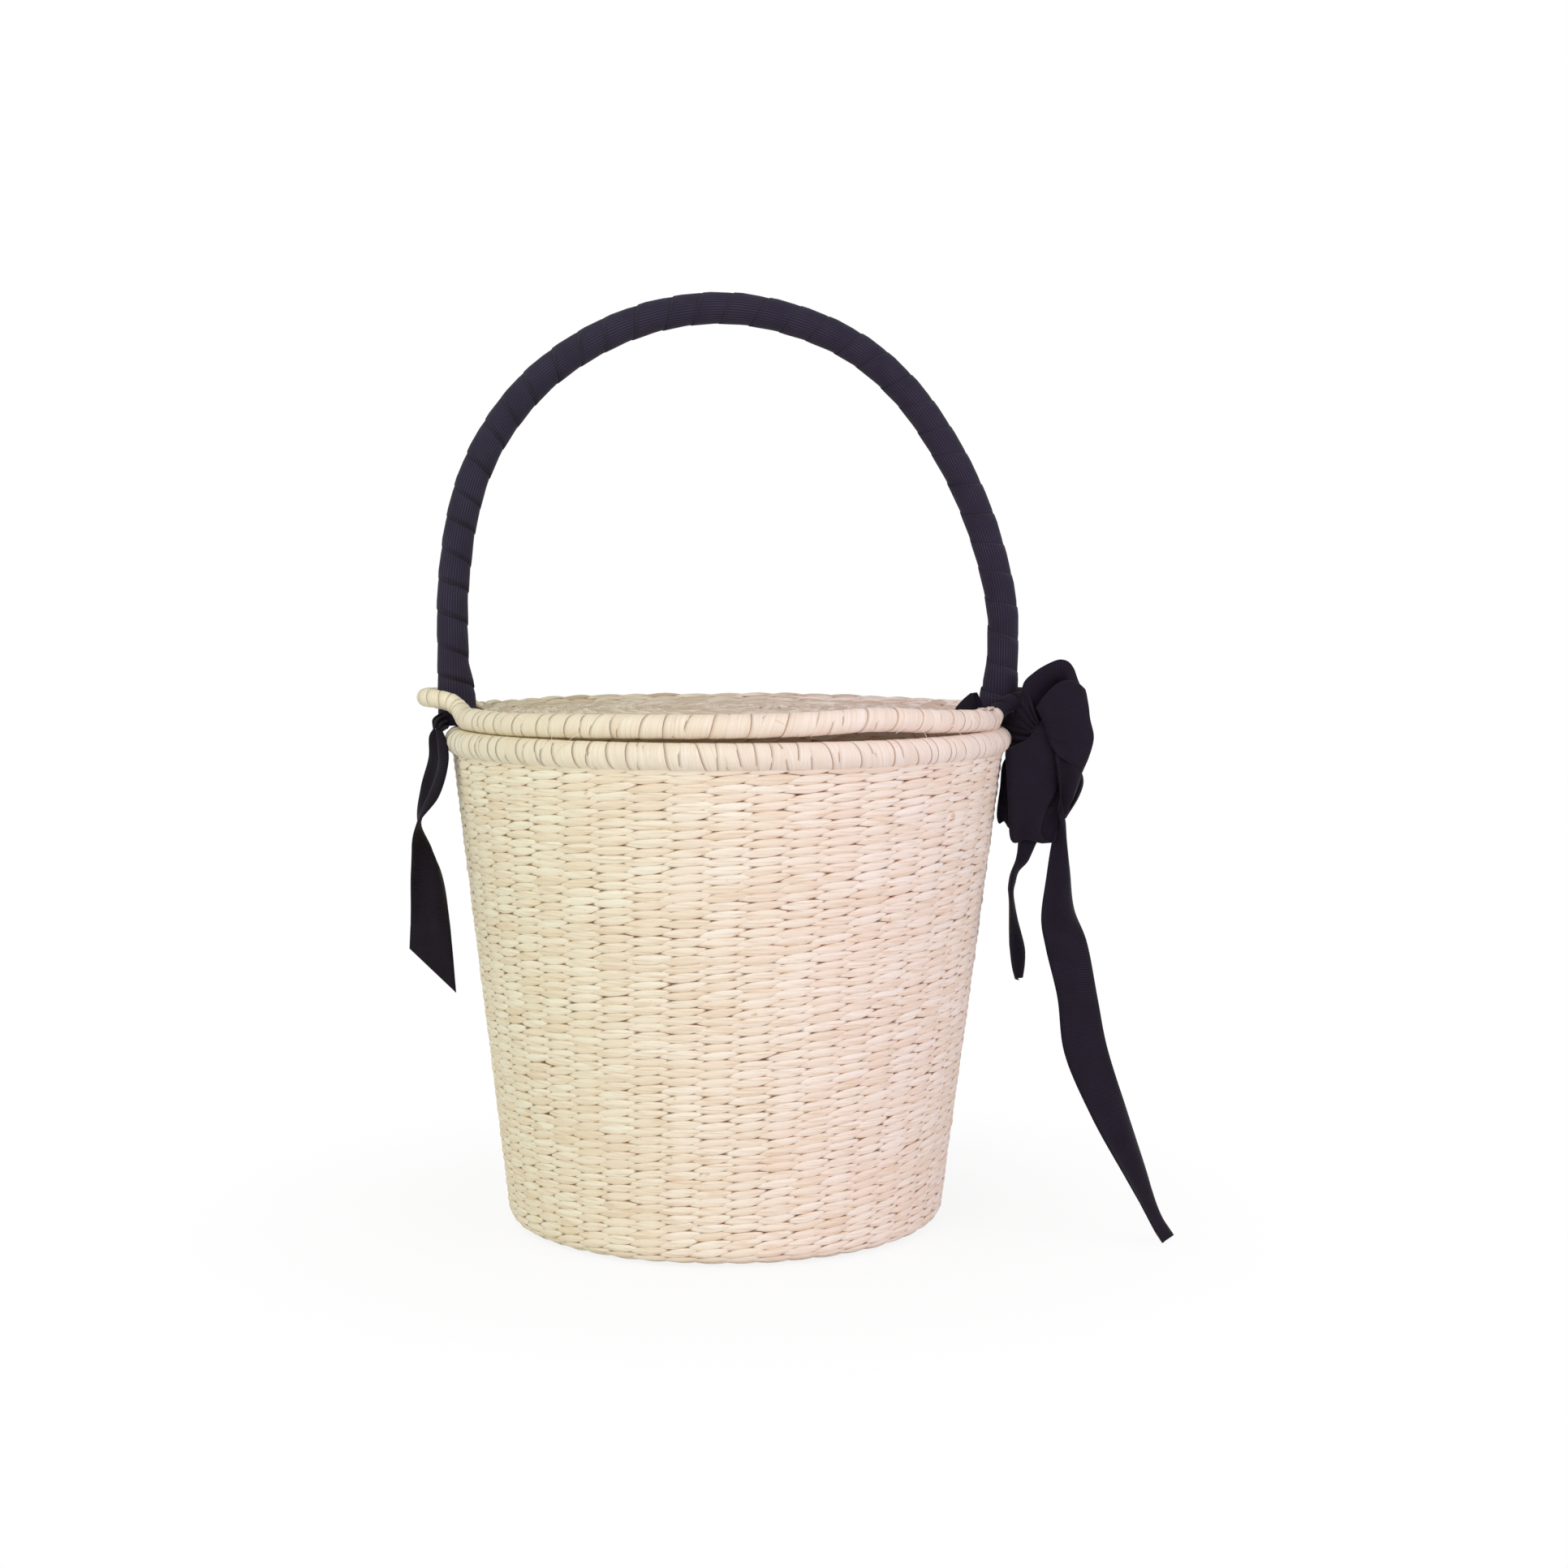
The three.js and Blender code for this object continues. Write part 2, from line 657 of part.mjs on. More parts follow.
// The loop that stands up from the knot, folds over at its top and comes down on the right.
function upperLoop() {
  const first = [
    [-2.5, 3.3, 6.4],
    [-7.7, 0.3, 15],
    [-8.3, -0.3, 25],
    [-4.9, -2.5, 27.8],
    [-1.9, -4.5, 20],
    [0.1, -5.3, 10],
    [3.1, -5.3, 1],
    [5.9, -4.9, -8.4],
  ];
  const second = [
    [2.1, 4.5, 6.2],
    [12.1, 6.5, 16.4],
    [14.7, 5.7, 29],
    [18.1, 2.5, 34.2],
    [21.1, -0.9, 25.4],
    [23.7, -1.9, 13],
    [25.3, -1.3, -1],
    [19.1, -0.1, -16.6],
  ];
  return ribbonBetween(placed(knot, first), placed(knot, second), 32);
}

// The loop that hangs in front of the wall, folded at its lower end.
function frontLoop() {
  const first = [
    [-3.1, -5.5, -1.4],
    [-15.9, -11.9, -7.6],
    [-17.9, -13.1, -15],
    [-16.1, -13.1, -37],
    [-14.3, -10.1, -52.4],
    [-15.9, -7.1, -37],
    [-17.5, -6.7, -19],
    [-11.9, -5.9, -10],
    [-3.5, -5.3, -6],
  ];
  const second = [
    [0.5, -5.7, -2],
    [2.7, -10.1, -9.4],
    [3.3, -11.5, -19],
    [5.7, -11.5, -38],
    [6.1, -8.9, -53.4],
    [4.7, -6.1, -38],
    [2.9, -5.9, -21],
    [2.1, -5.7, -12],
    [0.1, -5.5, -7],
  ];
  return ribbonBetween(placed(knot, first), placed(knot, second), 32);
}

// A smaller loop between the front loop and the wall.
function backLoop() {
  const first = [
    [-3.3, 1.9, -5.1],
    [-11.9, 0.9, -13],
    [-18.7, 0.1, -27],
    [-19.9, 0.3, -41],
    [-18.7, 3.5, -45],
    [-17.3, 5.9, -39],
    [-13.9, 6.9, -21],
    [-6.3, 6.1, -8.4],
  ];
  const second = [
    [0.3, 1.7, -5.4],
    [-1.3, 0.7, -15],
    [-3.7, 0.1, -28],
    [-5.7, 0.3, -42],
    [-5.9, 3.5, -46],
    [-5.3, 5.9, -39],
    [-2.9, 6.9, -21],
    [-1.5, 5.7, -9.4],
  ];
  return ribbonBetween(placed(knot, first), placed(knot, second), 28);
}

// The long tail: it twists once below the knot and curls out until its cut end lies on the floor. The
// third number of each point is its height as a share of the knot's height.
function longTail() {
  const first = [
    [19, 0.1, 0.929],
    [18.1, 2.9, 0.871],
    [12.9, 2.1, 0.813],
    [14.3, -2.5, 0.718],
    [16.1, -5.5, 0.643],
    [21.9, -7.9, 0.581],
    [27.1, -12.5, 0.465],
    [30.9, -18.5, 0.373],
    [39.7, -25.5, 0.249],
    [48.7, -31.5, 0.129],
    [55.1, -36.5, 0.037],
    [60.1, -39.5, 0.004],
  ];
  const second = [
    [5.8, -4.7, 0.963],
    [8.1, -4.9, 0.884],
    [7.5, -3.1, 0.809],
    [1.9, -11.5, 0.71],
    [-0.9, -15.5, 0.627],
    [1.3, -16.5, 0.568],
    [6.5, -20.5, 0.473],
    [9.3, -26.5, 0.365],
    [21.5, -36.5, 0.243],
    [36.1, -48.1, 0.133],
    [48.1, -55.5, 0.046],
    [53.5, -57.5, 0.012],
  ];
  const drop = knot.z / drawnScale;
  const hung = (points) => points.map(([out, forward, share]) => [out, forward, (share - 1) * drop]);
  return ribbonBetween(placed(knot, hung(first)), placed(knot, hung(second)), 44);
}

function shortTail() {
  const first = [
    [1.3, -2.1, -5.2],
    [-1.3, -2.9, -27],
    [-1.3, -2.9, -49],
    [-9.3, 4.1, -71],
    [-10.3, 8.1, -91],
    [-4.9, 6.1, -111],
    [-6.9, 5.1, -123],
  ];
  const second = [
    [-2.5, -2.1, -5.2],
    [-11.9, -3.3, -27],
    [-12.7, -3.9, -49],
    [-13.3, -9.5, -71],
    [-12.7, -8.9, -91],
    [-12.5, -6.5, -109],
    [-11.9, -6.5, -118],
  ];
  return ribbonBetween(placed(knot, first), placed(knot, second), 20);
}

// The ribbon end that stands up out of the lid beside the ear at the bow.
function tuckedEnd() {
  const first = [
    [-11, -20.4, 2.9],
    [-7, -18, 7.6],
    [-1.2, -14.6, 11.6],
  ];
  const second = [
    [4.6, -10.2, 2.4],
    [3.2, -11.4, 7],
    [0.8, -13.4, 11.6],
  ];
  const place = new THREE.Vector3(earCordRadius, 0, lidHeight);
  return ribbonBetween(placed(place, first), placed(place, second), 6);
}

// The assembly

const STRAW = { color: 0xe9d9bd, roughness: 0.75, metalness: 0 };
const WRAPPING = { color: 0xeaddc4, roughness: 0.65, metalness: 0 };
const CANE = { color: 0xcfae7a, roughness: 0.6, metalness: 0 };
const GROSGRAIN = { color: 0x2a2630, roughness: 0.8, metalness: 0 };

const basket = new THREE.Group();

function piece(name, geometry, look) {
  const mesh = new THREE.Mesh(geometry, new THREE.MeshStandardMaterial(look));
  mesh.name = name;
  basket.add(mesh);
}

piece("woven_base", wovenBase(), STRAW);
piece("woven_wall", wovenWall(), STRAW);
piece("rim_hoop", rimHoop(), CANE);
piece("rim_binding", rimBinding(), WRAPPING);
piece("lid_panel", lidPanel(), STRAW);
piece("lid_hoop", lidHoop(), CANE);
piece("lid_binding_front", lidFrontBinding(), WRAPPING);
piece("lid_binding_back", lidBackBinding(), WRAPPING);
piece("left_ear_binding", earSleeve().rotateZ(Math.PI), WRAPPING);
piece("right_ear_ribbon", earSleeve(), GROSGRAIN);
piece("left_ear_cord", earCord().rotateZ(Math.PI), WRAPPING);
piece("right_ear_cord", earCord(), WRAPPING);
piece("tucked_ribbon_end", tuckedEnd(), GROSGRAIN);
piece("handle_core", handleCore(), CANE);
piece("handle_ribbon", handleRibbon(), GROSGRAIN);
piece("left_ribbon_band", leftBand(), GROSGRAIN);
piece("left_ribbon_tail", leftTail(), GROSGRAIN);
piece("bow_upper_band", upperBand(), GROSGRAIN);
piece("bow_lower_band", lowerBand(), GROSGRAIN);
piece("bow_knot", bowKnot(), GROSGRAIN);
piece("bow_upper_loop", upperLoop(), GROSGRAIN);
piece("bow_front_loop", frontLoop(), GROSGRAIN);
piece("bow_back_loop", backLoop(), GROSGRAIN);
piece("bow_long_tail", longTail(), GROSGRAIN);
piece("bow_short_tail", shortTail(), GROSGRAIN);

export default basket;
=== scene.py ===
# %% [markdown]
# # A straw basket with a ribbon bow
#
# The basket is twined from palm strip over stiff stakes. Its rim and its lid are bound with more
# palm strip, and a bent cane handle is wrapped in black grosgrain ribbon that ends in a bow.
# Nearly everything on it repeats along a path or a surface: stitches on the wall, turns of a
# wrapping, ribs in a ribbon. So two Geometry Nodes trees make most of it, and the loose ribbon is
# drawn between two edge curves.

import math
from types import SimpleNamespace

import bmesh
import bpy
import numpy as np
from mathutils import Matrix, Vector


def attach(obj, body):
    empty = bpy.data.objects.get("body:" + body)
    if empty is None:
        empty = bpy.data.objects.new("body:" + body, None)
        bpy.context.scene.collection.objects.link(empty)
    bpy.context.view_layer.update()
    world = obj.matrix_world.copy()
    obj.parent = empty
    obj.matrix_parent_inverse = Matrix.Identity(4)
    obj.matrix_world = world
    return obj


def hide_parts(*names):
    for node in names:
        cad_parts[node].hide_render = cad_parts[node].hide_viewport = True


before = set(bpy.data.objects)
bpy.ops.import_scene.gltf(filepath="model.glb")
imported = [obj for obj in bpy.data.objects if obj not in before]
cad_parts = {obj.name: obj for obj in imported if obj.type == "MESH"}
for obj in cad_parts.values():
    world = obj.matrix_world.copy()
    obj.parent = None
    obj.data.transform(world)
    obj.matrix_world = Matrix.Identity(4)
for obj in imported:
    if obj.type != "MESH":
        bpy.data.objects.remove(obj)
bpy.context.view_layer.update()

# %% [markdown]
# ## The driving sizes
#
# The same few sizes as in the part's source, in metres. A basket is measured round its rim, so the
# rim's radius and height come first, and the lid, the legs and the knot are placed from them.

# %% The driving sizes
MM = 0.001
RIM_RADIUS = 132.8 * MM
RIM_HEIGHT = 237.3 * MM
RIM_TUBE = 12.6 * MM
RIM_TOP = RIM_HEIGHT + RIM_TUBE / 2
FLOOR_RADIUS = 101 * MM
CORNER = 7.4 * MM
WALL = 5.5 * MM
WALL_PROUD = 3.65 * MM
WALL_FOOT = FLOOR_RADIUS + CORNER
LEAN = 2 * MM
BASE_THICKNESS = 5 * MM
LID_RADIUS = 130 * MM
LID_TUBE = 10.8 * MM
LID_HEIGHT = 248.97 * MM
LID_THICKNESS = 4 * MM
LID_RISE = 3 * MM
EAR_HALF = 24 * MM
EAR_TUBE = 8.8 * MM
EAR_RISE = 8.6 * MM
EAR_REACH = 148.6 * MM
EAR_CORD_RADIUS = 120.6 * MM
LEG_RADIUS = 135.2 * MM
HANDLE_TOP = 446.9 * MM
HANDLE_OVER_RIBBON = 15.6 * MM
FOOT_FLARE = 3.6 * MM
RIBBON_WIDTH = 22 * MM
RIBBON = 0.5 * MM
KNOT = np.array([LEG_RADIUS + 17.1 * MM, -18.5 * MM, RIM_HEIGHT + 3.7 * MM])
PINCH = np.array([-LEG_RADIUS - 6.8 * MM, -26 * MM, RIM_HEIGHT + 1.7 * MM])
print("rim", 2 * RIM_RADIUS, "m across at", RIM_HEIGHT, "m")

# %% [markdown]
# ## Short words for node trees
#
# A node tree is a sum written with boxes. `node` adds a box to the tree in hand, and sets or joins
# its inputs by their names. An output comes back as a `Term`, and a plus or a times between terms
# adds the box for it, so that each tree below reads like the sum that it is.

# %% Short words for node trees
in_hand = None


def take(tree):
    """The nodes that follow are added to this tree."""
    global in_hand
    in_hand = tree
    return tree


class Term:
    """One output of a node. A sign between a term and a term or a number adds a Math node."""

    def __init__(self, socket):
        self.socket = socket

    def __add__(self, other):
        return maths("ADD", self, other)

    def __sub__(self, other):
        return maths("SUBTRACT", self, other)

    def __rsub__(self, other):
        return maths("SUBTRACT", other, self)

    def __mul__(self, other):
        return maths("MULTIPLY", self, other)

    def __truediv__(self, other):
        return maths("DIVIDE", self, other)


def named(sockets, name):
    """Finds a socket. A space in its name is written as an underscore."""
    wanted = name.replace("_", " ").lower()
    return next(s for s in sockets if s.enabled and s.name.lower() == wanted)


def put(socket, value):
    if isinstance(value, Term):
        in_hand.links.new(value.socket, socket)
    else:
        socket.default_value = value


def node(kind, settings=None, **inputs):
    box = in_hand.nodes.new(kind)
    for name, value in (settings or {}).items():
        setattr(box, name, value)
    for name, value in inputs.items():
        put(named(box.inputs, name), value)
    return box


def out(box, name):
    return Term(named(box.outputs, name))


def made(kind, settings=None, **inputs):
    """Adds a node and hands back its first output."""
    return Term(node(kind, settings, **inputs).outputs[0])


def maths(operation, *values, kind="ShaderNodeMath"):
    """Adds a node for a sum, and fills its inputs in their order."""
    box = node(kind, {"operation": operation})
    for socket, value in zip(box.inputs, values):
        put(socket, value)
    return Term(box.outputs[0])


def vectors(operation, a, b):
    return maths(operation, a, b, kind="ShaderNodeVectorMath")


def scaled(vector, amount):
    return made("ShaderNodeVectorMath", {"operation": "SCALE"}, Vector=vector, Scale=amount)


def joined(x, y, z):
    return made("ShaderNodeCombineXYZ", X=x, Y=y, Z=z)


def parts(vector):
    return [Term(socket) for socket in node("ShaderNodeSeparateXYZ", Vector=vector).outputs]


def eased(value, low, high):
    """From 0 to 1 while the value goes from low to high, with soft ends."""
    return made("ShaderNodeMapRange", {"interpolation_type": "SMOOTHSTEP"},
                Value=value, From_Min=low, From_Max=high)


def noise(vector, detail=2.0, roughness=0.5):
    return made("ShaderNodeTexNoise", Vector=vector, Scale=1.0, Detail=detail, Roughness=roughness)


# %% [markdown]
# A Geometry Nodes tree is written once and run many times. `grown` runs it with other inputs each
# time and keeps the result as a plain mesh.


# %% Trees and meshes
def new_tree(name, **inputs):
    """Takes a new Geometry Nodes tree in hand. Its inputs are listed by their kind."""
    tree = take(bpy.data.node_groups.new(name, "GeometryNodeTree"))
    for kind, labels in inputs.items():
        for label in labels.split():
            tree.interface.new_socket(name=label, in_out="INPUT", socket_type="NodeSocket" + kind)
    tree.interface.new_socket(name="Geometry", in_out="OUTPUT", socket_type="NodeSocketGeometry")
    given = {s.name: Term(s) for s in node("NodeGroupInput").outputs if s.name}
    return tree, SimpleNamespace(**given)


def finish_tree(geometry, material):
    """Realize Instances, smooth shading, Set Material, and out."""
    whole = made("GeometryNodeRealizeInstances", Geometry=geometry)
    smooth = made("GeometryNodeSetShadeSmooth", Geometry=whole)
    node("NodeGroupOutput", Geometry=made("GeometryNodeSetMaterial", Geometry=smooth, Material=material))


def stored(geometry, name, value, kind="FLOAT", domain="POINT"):
    """Keeps a value as a named attribute, so that a material can read it."""
    return made("GeometryNodeStoreNamedAttribute", {"data_type": kind, "domain": domain},
                Geometry=geometry, Name=name, Value=value)


def moved(geometry, place):
    return made("GeometryNodeSetPosition", Geometry=geometry, Position=place)


def geometry_of(thing):
    return out(node("GeometryNodeObjectInfo", Object=thing), "Geometry")


def sampled(line, length):
    """Reads the place and the directions of a line, this far along it."""
    return node("GeometryNodeSampleCurve", {"mode": "LENGTH"}, Curves=geometry_of(line), Length=length)


def shown(name, data):
    piece = bpy.data.objects.new(name, data)
    bpy.context.scene.collection.objects.link(piece)
    return piece


def grown(name, tree, **values):
    """Runs a tree with these input values and returns its result as a plain mesh object."""
    holder = shown(name + "_holder", bpy.data.meshes.new(name + "_holder"))
    modifier = holder.modifiers.new("grow", "NODES")
    modifier.node_group = tree
    for item in tree.interface.items_tree:
        if item.in_out == "INPUT":
            modifier[item.identifier] = values[item.name]
    graph = bpy.context.evaluated_depsgraph_get()
    mesh = bpy.data.meshes.new_from_object(
        holder.evaluated_get(graph), preserve_all_data_layers=True, depsgraph=graph
    )
    bpy.data.objects.remove(holder)
    mesh.name = name
    return shown(name, mesh)


def built(name, points, faces, material=None, smooth=True):
    """A piece from its corners and faces."""
    mesh = bpy.data.meshes.new(name)
    mesh.from_pydata([tuple(p) for p in points], [], faces)
    if material:
        mesh.materials.append(material)
    mesh.polygons.foreach_set("use_smooth", [smooth] * len(mesh.polygons))
    return shown(name, mesh)


def grid_faces(rows, columns, closed=False):
    """The faces between rows of corners. In a closed grid each row's end meets its start."""
    faces = []
    for i in range(rows - 1):
        for k in range(columns if closed else columns - 1):
            m = (k + 1) % columns
            faces.append((i * columns + k, i * columns + m, (i + 1) * columns + m, (i + 1) * columns + k))
    return faces


def line_through(name, points):
    """A line for a tree to read. It is taken away again after use."""
    data = bpy.data.curves.new(name, "CURVE")
    data.dimensions = "3D"
    data.twist_mode = "MINIMUM"
    line = data.splines.new("POLY")
    line.points.add(len(points) - 1)
    line.points.foreach_set("co", np.c_[np.array(points), np.ones(len(points))].ravel())
    return shown(name, data)


def fused(name, pieces):
    """Joins pieces into one object, with their attributes."""
    with bpy.context.temp_override(active_object=pieces[0], selected_editable_objects=pieces):
        bpy.ops.object.join()
    pieces[0].name = pieces[0].data.name = name
    return pieces[0]


def merged(piece):
    """Joins the corners that lie in one place, at seams and poles."""
    work = bmesh.new()
    work.from_mesh(piece.data)
    bmesh.ops.remove_doubles(work, verts=work.verts, dist=1e-6)
    bmesh.ops.dissolve_degenerate(work, edges=work.edges, dist=1e-6)
    work.to_mesh(piece.data)
    work.free()


def triangles(piece):
    return sum(len(p.vertices) - 2 for p in piece.data.polygons)


def spots_of(piece):
    spots = np.empty(len(piece.data.vertices) * 3)
    piece.data.vertices.foreach_get("co", spots)
    return spots.reshape(-1, 3)


def put_spots(piece, spots):
    piece.data.vertices.foreach_set("co", spots.ravel())
    piece.data.update()


def facing_out(piece):
    """Turns the faces outwards where the volume that they hold comes out negative."""
    mesh = piece.data
    mesh.calc_loop_triangles()
    corners = np.empty(len(mesh.loop_triangles) * 3, dtype=np.int64)
    mesh.loop_triangles.foreach_get("vertices", corners)
    a, b, c = (spots_of(piece)[corners.reshape(-1, 3)[:, k]] for k in range(3))
    if np.einsum("ij,ij->", a, np.cross(b, c)) < 0:
        mesh.flip_normals()
    return piece


print("helpers ready")

# %% [markdown]
# ## Palm strip
#
# A stitch of palm strip is pale, with fine veins along its length, and each one was cut from another
# leaf, so each has its own tint. It is painted darker where it dives under its neighbours, and along
# its long border, in the gap to the next row: both are painted shade. A noise stretched along the
# strip gives the veins. The stitches carry their flat, unrolled place as an attribute, so that the
# veins follow every stitch round the basket, which Object coordinates couldn't do. Two more
# attributes say how near a spot is to the stitch's long border and to its tip.


# %% Palm strip
WHITE = (1, 1, 1, 1)
# Along x, the painted side light turns from greener on the left to pinker on the right.
SIDE_LIGHT_FROM = -0.12
SIDE_LIGHT_TO = 0.1


def srgb(red, green, blue):
    """A colour as a painter names it, from 0 to 255, as the linear numbers that a shader takes."""
    return tuple(((v / 255 + 0.055) / 1.055) ** 2.4 for v in (red, green, blue)) + (1.0,)


def new_material(name, roughness, **more):
    """Takes a new material's tree in hand, with one shader in it."""
    material = bpy.data.materials.new(name)
    material.use_nodes = True
    take(material.node_tree).nodes.clear()
    shader = node("ShaderNodeBsdfPrincipled", Roughness=roughness, **more)
    node("ShaderNodeOutputMaterial", Surface=out(shader, "BSDF"))
    return material, shader


def ramp(value, stops):
    """A row of colours, each with its place from 0 to 1."""
    box = node("ShaderNodeValToRGB", Fac=value)
    row = box.color_ramp.elements
    while len(row) < len(stops):
        row.new(0.5)
    for element, (place, colour) in zip(row, stops):
        element.position = place
        element.color = colour
    return out(box, "Color")


def mixed(share, first, second, blend="MIX"):
    settings = {"data_type": "RGBA", "blend_type": blend}
    return out(node("ShaderNodeMix", settings, Factor=share, A=first, B=second), "Result")


def attribute(name, output="Fac"):
    return out(node("ShaderNodeAttribute", {"attribute_name": name}), output)


def object_place():
    return out(node("ShaderNodeTexCoord"), "Object")


def finish_material(shader, colour, height, distance, strength):
    """Gives a shader its colour, and small bumps from a height."""
    put(shader.inputs["Base Color"], colour)
    normal = made("ShaderNodeBump", Height=height, Distance=distance, Strength=strength)
    put(shader.inputs["Normal"], normal)


def painted_side_light(colour, left=srgb(246, 249, 230), right=srgb(255, 245, 250)):
    """Painted light: a greener light tints the left side a little, and a pinker light the right side."""
    sides = eased(parts(object_place())[0], SIDE_LIGHT_FROM, SIDE_LIGHT_TO)
    return mixed(1.0, colour, mixed(sides, left, right), "MULTIPLY")


def palm(name, pale, dark, vein, edge, deep):
    """Palm strip whose veins run along the attribute `flat`."""
    material, shader = new_material(name, roughness=0.62)
    tint = attribute("tint")
    x, y, _ = parts(attribute("flat", "Vector"))
    apart = tint * 40.0
    veins = noise(joined(x * 55.0, y * 1100.0, apart), 3.0, 0.6)
    broad = noise(joined(x * 30.0, y * 250.0, apart))
    body = ramp(tint * 0.55 + broad * 0.5, [(0.08, dark), (0.4, pale), (1.0, srgb(255, 250, 241))])
    lined = mixed(eased(veins, 0.72, 0.44), vein, body)
    # Painted shade along the long border, in the gap where the stitch meets the next row.
    border_shade_mask = attribute("border") + (veins - 0.5) * 0.14
    lined = mixed(eased(border_shade_mask, 0.6, 0.9), lined, edge)
    # Painted shade where the stitch dives under its neighbours, in the deep colour.
    dive_shade_mask = attribute("tip") + (tint - 0.5) * 0.1
    lined = mixed(eased(dive_shade_mask, 0.7, 0.88) * 0.85, lined, deep)
    spots = eased(noise(scaled(object_place(), 130.0)), 0.72, 0.8) * 0.6
    spotted = mixed(spots, painted_side_light(lined), srgb(214, 164, 112))
    finish_material(shader, spotted, veins, distance=0.3 * MM, strength=0.4)
    return material


# For each straw, deep is the painted shade in the dives, and edge the painted shade along the borders.
straw = palm("straw", pale=srgb(249, 236, 221), dark=srgb(240, 222, 201), vein=srgb(234, 211, 185),
             edge=srgb(166, 120, 84), deep=srgb(108, 72, 46))
# The lid's straw is the same palm strip as the wall's, painted darker: painted shade on the lid's top,
# which faces up, away from the front light.
lid_straw_painted_shade = palm("lid_straw_painted_shade", pale=srgb(214, 196, 178), dark=srgb(200, 180, 160),
                 vein=srgb(198, 174, 150), edge=srgb(184, 156, 132), deep=srgb(172, 142, 118))
# A darker straw for what shows only in gaps, the stakes and the rim's bed: painted shade.
gap_straw_painted_shade = palm("gap_straw_painted_shade", pale=srgb(176, 146, 110), dark=srgb(140, 108, 76), vein=srgb(120, 88, 60),
                 edge=srgb(120, 88, 60), deep=srgb(110, 78, 52))
print("materials", straw.name, lid_straw_painted_shade.name, gap_straw_painted_shade.name)

# %% [markdown]
# The strip that binds the rim and the lid is wider and smoother than the stitches. Its turns lie
# over each other like roof tiles, so the lower edge of each turn shows as a thin golden line. The
# wrapping carries its place along the strip and across it, and the turn it belongs to.


# %% The binding strip
def binding(name, pale, dark):
    material, shader = new_material(name, roughness=0.55)
    along, across, turn = parts(attribute("strip", "Vector"))
    own = noise(joined(turn * 1.3, 0.0, 3.0))
    fibres = noise(joined(along * 30.0, across * 1700.0, turn), 3.0)
    clouds = noise(joined(along * 60.0, across * 160.0, turn))
    body = ramp(own * 0.6 + clouds * 0.5, [(0.3, dark), (0.52, pale), (0.8, srgb(255, 249, 240))])
    lined = mixed(eased(fibres, 0.7, 0.42), srgb(240, 222, 200), body)
    ragged = attribute("edge") + (clouds - 0.5) * 0.08
    edged = mixed(eased(ragged, 0.93, 0.99) * 0.9, lined, srgb(222, 160, 96))
    finish_material(shader, painted_side_light(edged), fibres, distance=0.2 * MM, strength=0.35)
    return material


wrapping = binding("wrapping", srgb(247, 234, 221), srgb(237, 220, 200))
rim_wrapping = binding("rim_wrapping", srgb(245, 234, 223), srgb(236, 220, 202))
print("materials", wrapping.name, rim_wrapping.name)

# %% [markdown]
# Grosgrain is a ribbon with thick crosswise threads, so it shows a fine rib every 1.2 mm along its
# length. Black ribbon isn't quite black: this one is a deep purple-grey, with a faint sheen where
# light grazes the threads. The cane inside the wrappings needs a material too, if only for a gap.


# %% Grosgrain and cane
RIB = 1.2 * MM
THREAD = 0.45 * MM


def grosgrain(name, low, high, rib_groove_shade, left):
    """Ribbon from its threads' two colours, with painted shade in its grooves. Its left half has the same
    painted greener light as the basket's straw.
    """
    material, shader = new_material(
        name, roughness=0.78, Sheen_Weight=0.05, Sheen_Roughness=0.5, Specular_IOR_Level=0.2
    )
    along, across, _ = parts(attribute("strip", "Vector"))
    rib = maths("SINE", along * (2 * math.pi / RIB))
    threads = maths("SINE", across * (2 * math.pi / THREAD))
    worn = noise(scaled(object_place(), 90.0), 3.0)
    deep = mixed(eased(worn, 0.3, 0.7), low, high)
    # Painted shade in the grooves between the ribs.
    lit = mixed(eased(rib, -0.2, 1.0), rib_groove_shade, deep)
    height = rib * 0.5 + threads * 0.12
    finish_material(shader, painted_side_light(lit, left, WHITE), height, distance=0.1 * MM, strength=0.4)
    return material


def bare_cane(name):
    material, shader = new_material(name, roughness=0.5)
    streaks = noise(scaled(object_place(), 240.0), 4.0)
    colour = ramp(streaks, [(0.3, srgb(168, 124, 72)), (0.7, srgb(207, 174, 122))])
    finish_material(shader, colour, streaks, distance=0.2 * MM, strength=0.4)
    return material


# Both are the same black grosgrain. The copy for the loose ribbon, the knot and the right ear is painted
# darker than the handle's: painted shade.
wound_ribbon = grosgrain("wound_ribbon", srgb(46, 38, 60), srgb(58, 50, 73), srgb(34, 27, 44),
                         left=(1.1, 1.25, 1.08, 1.0))
ribbon_cloth_painted_shade = grosgrain("ribbon_cloth_painted_shade", srgb(24, 12, 32), srgb(34, 22, 45), srgb(18, 8, 24),
                         left=(0.85, 1.2, 0.75, 1.0))
cane = bare_cane("bare_cane")
print("materials", wound_ribbon.name, ribbon_cloth_painted_shade.name, cane.name)

# %% [markdown]
# ## The twined weave
#
# In twining, a strip passes over one stake and under the next, so each stitch is a long lens that
# bulges over its stake and dives at both ends. The stitches of one row stand over those of the row
# below, and each one leans, so that its right tip lies over the left tip of the next. One stitch
# is a lens with a few dozen faces. The tree lays it out flat, as on a table: the length of the
# table is the way round the basket, its width is the way up the wall. Then it rolls the table up
# along a profile, so the same tree twines the wall, the base and the lid.


# %% One stitch
TIP_SINK = -1.15


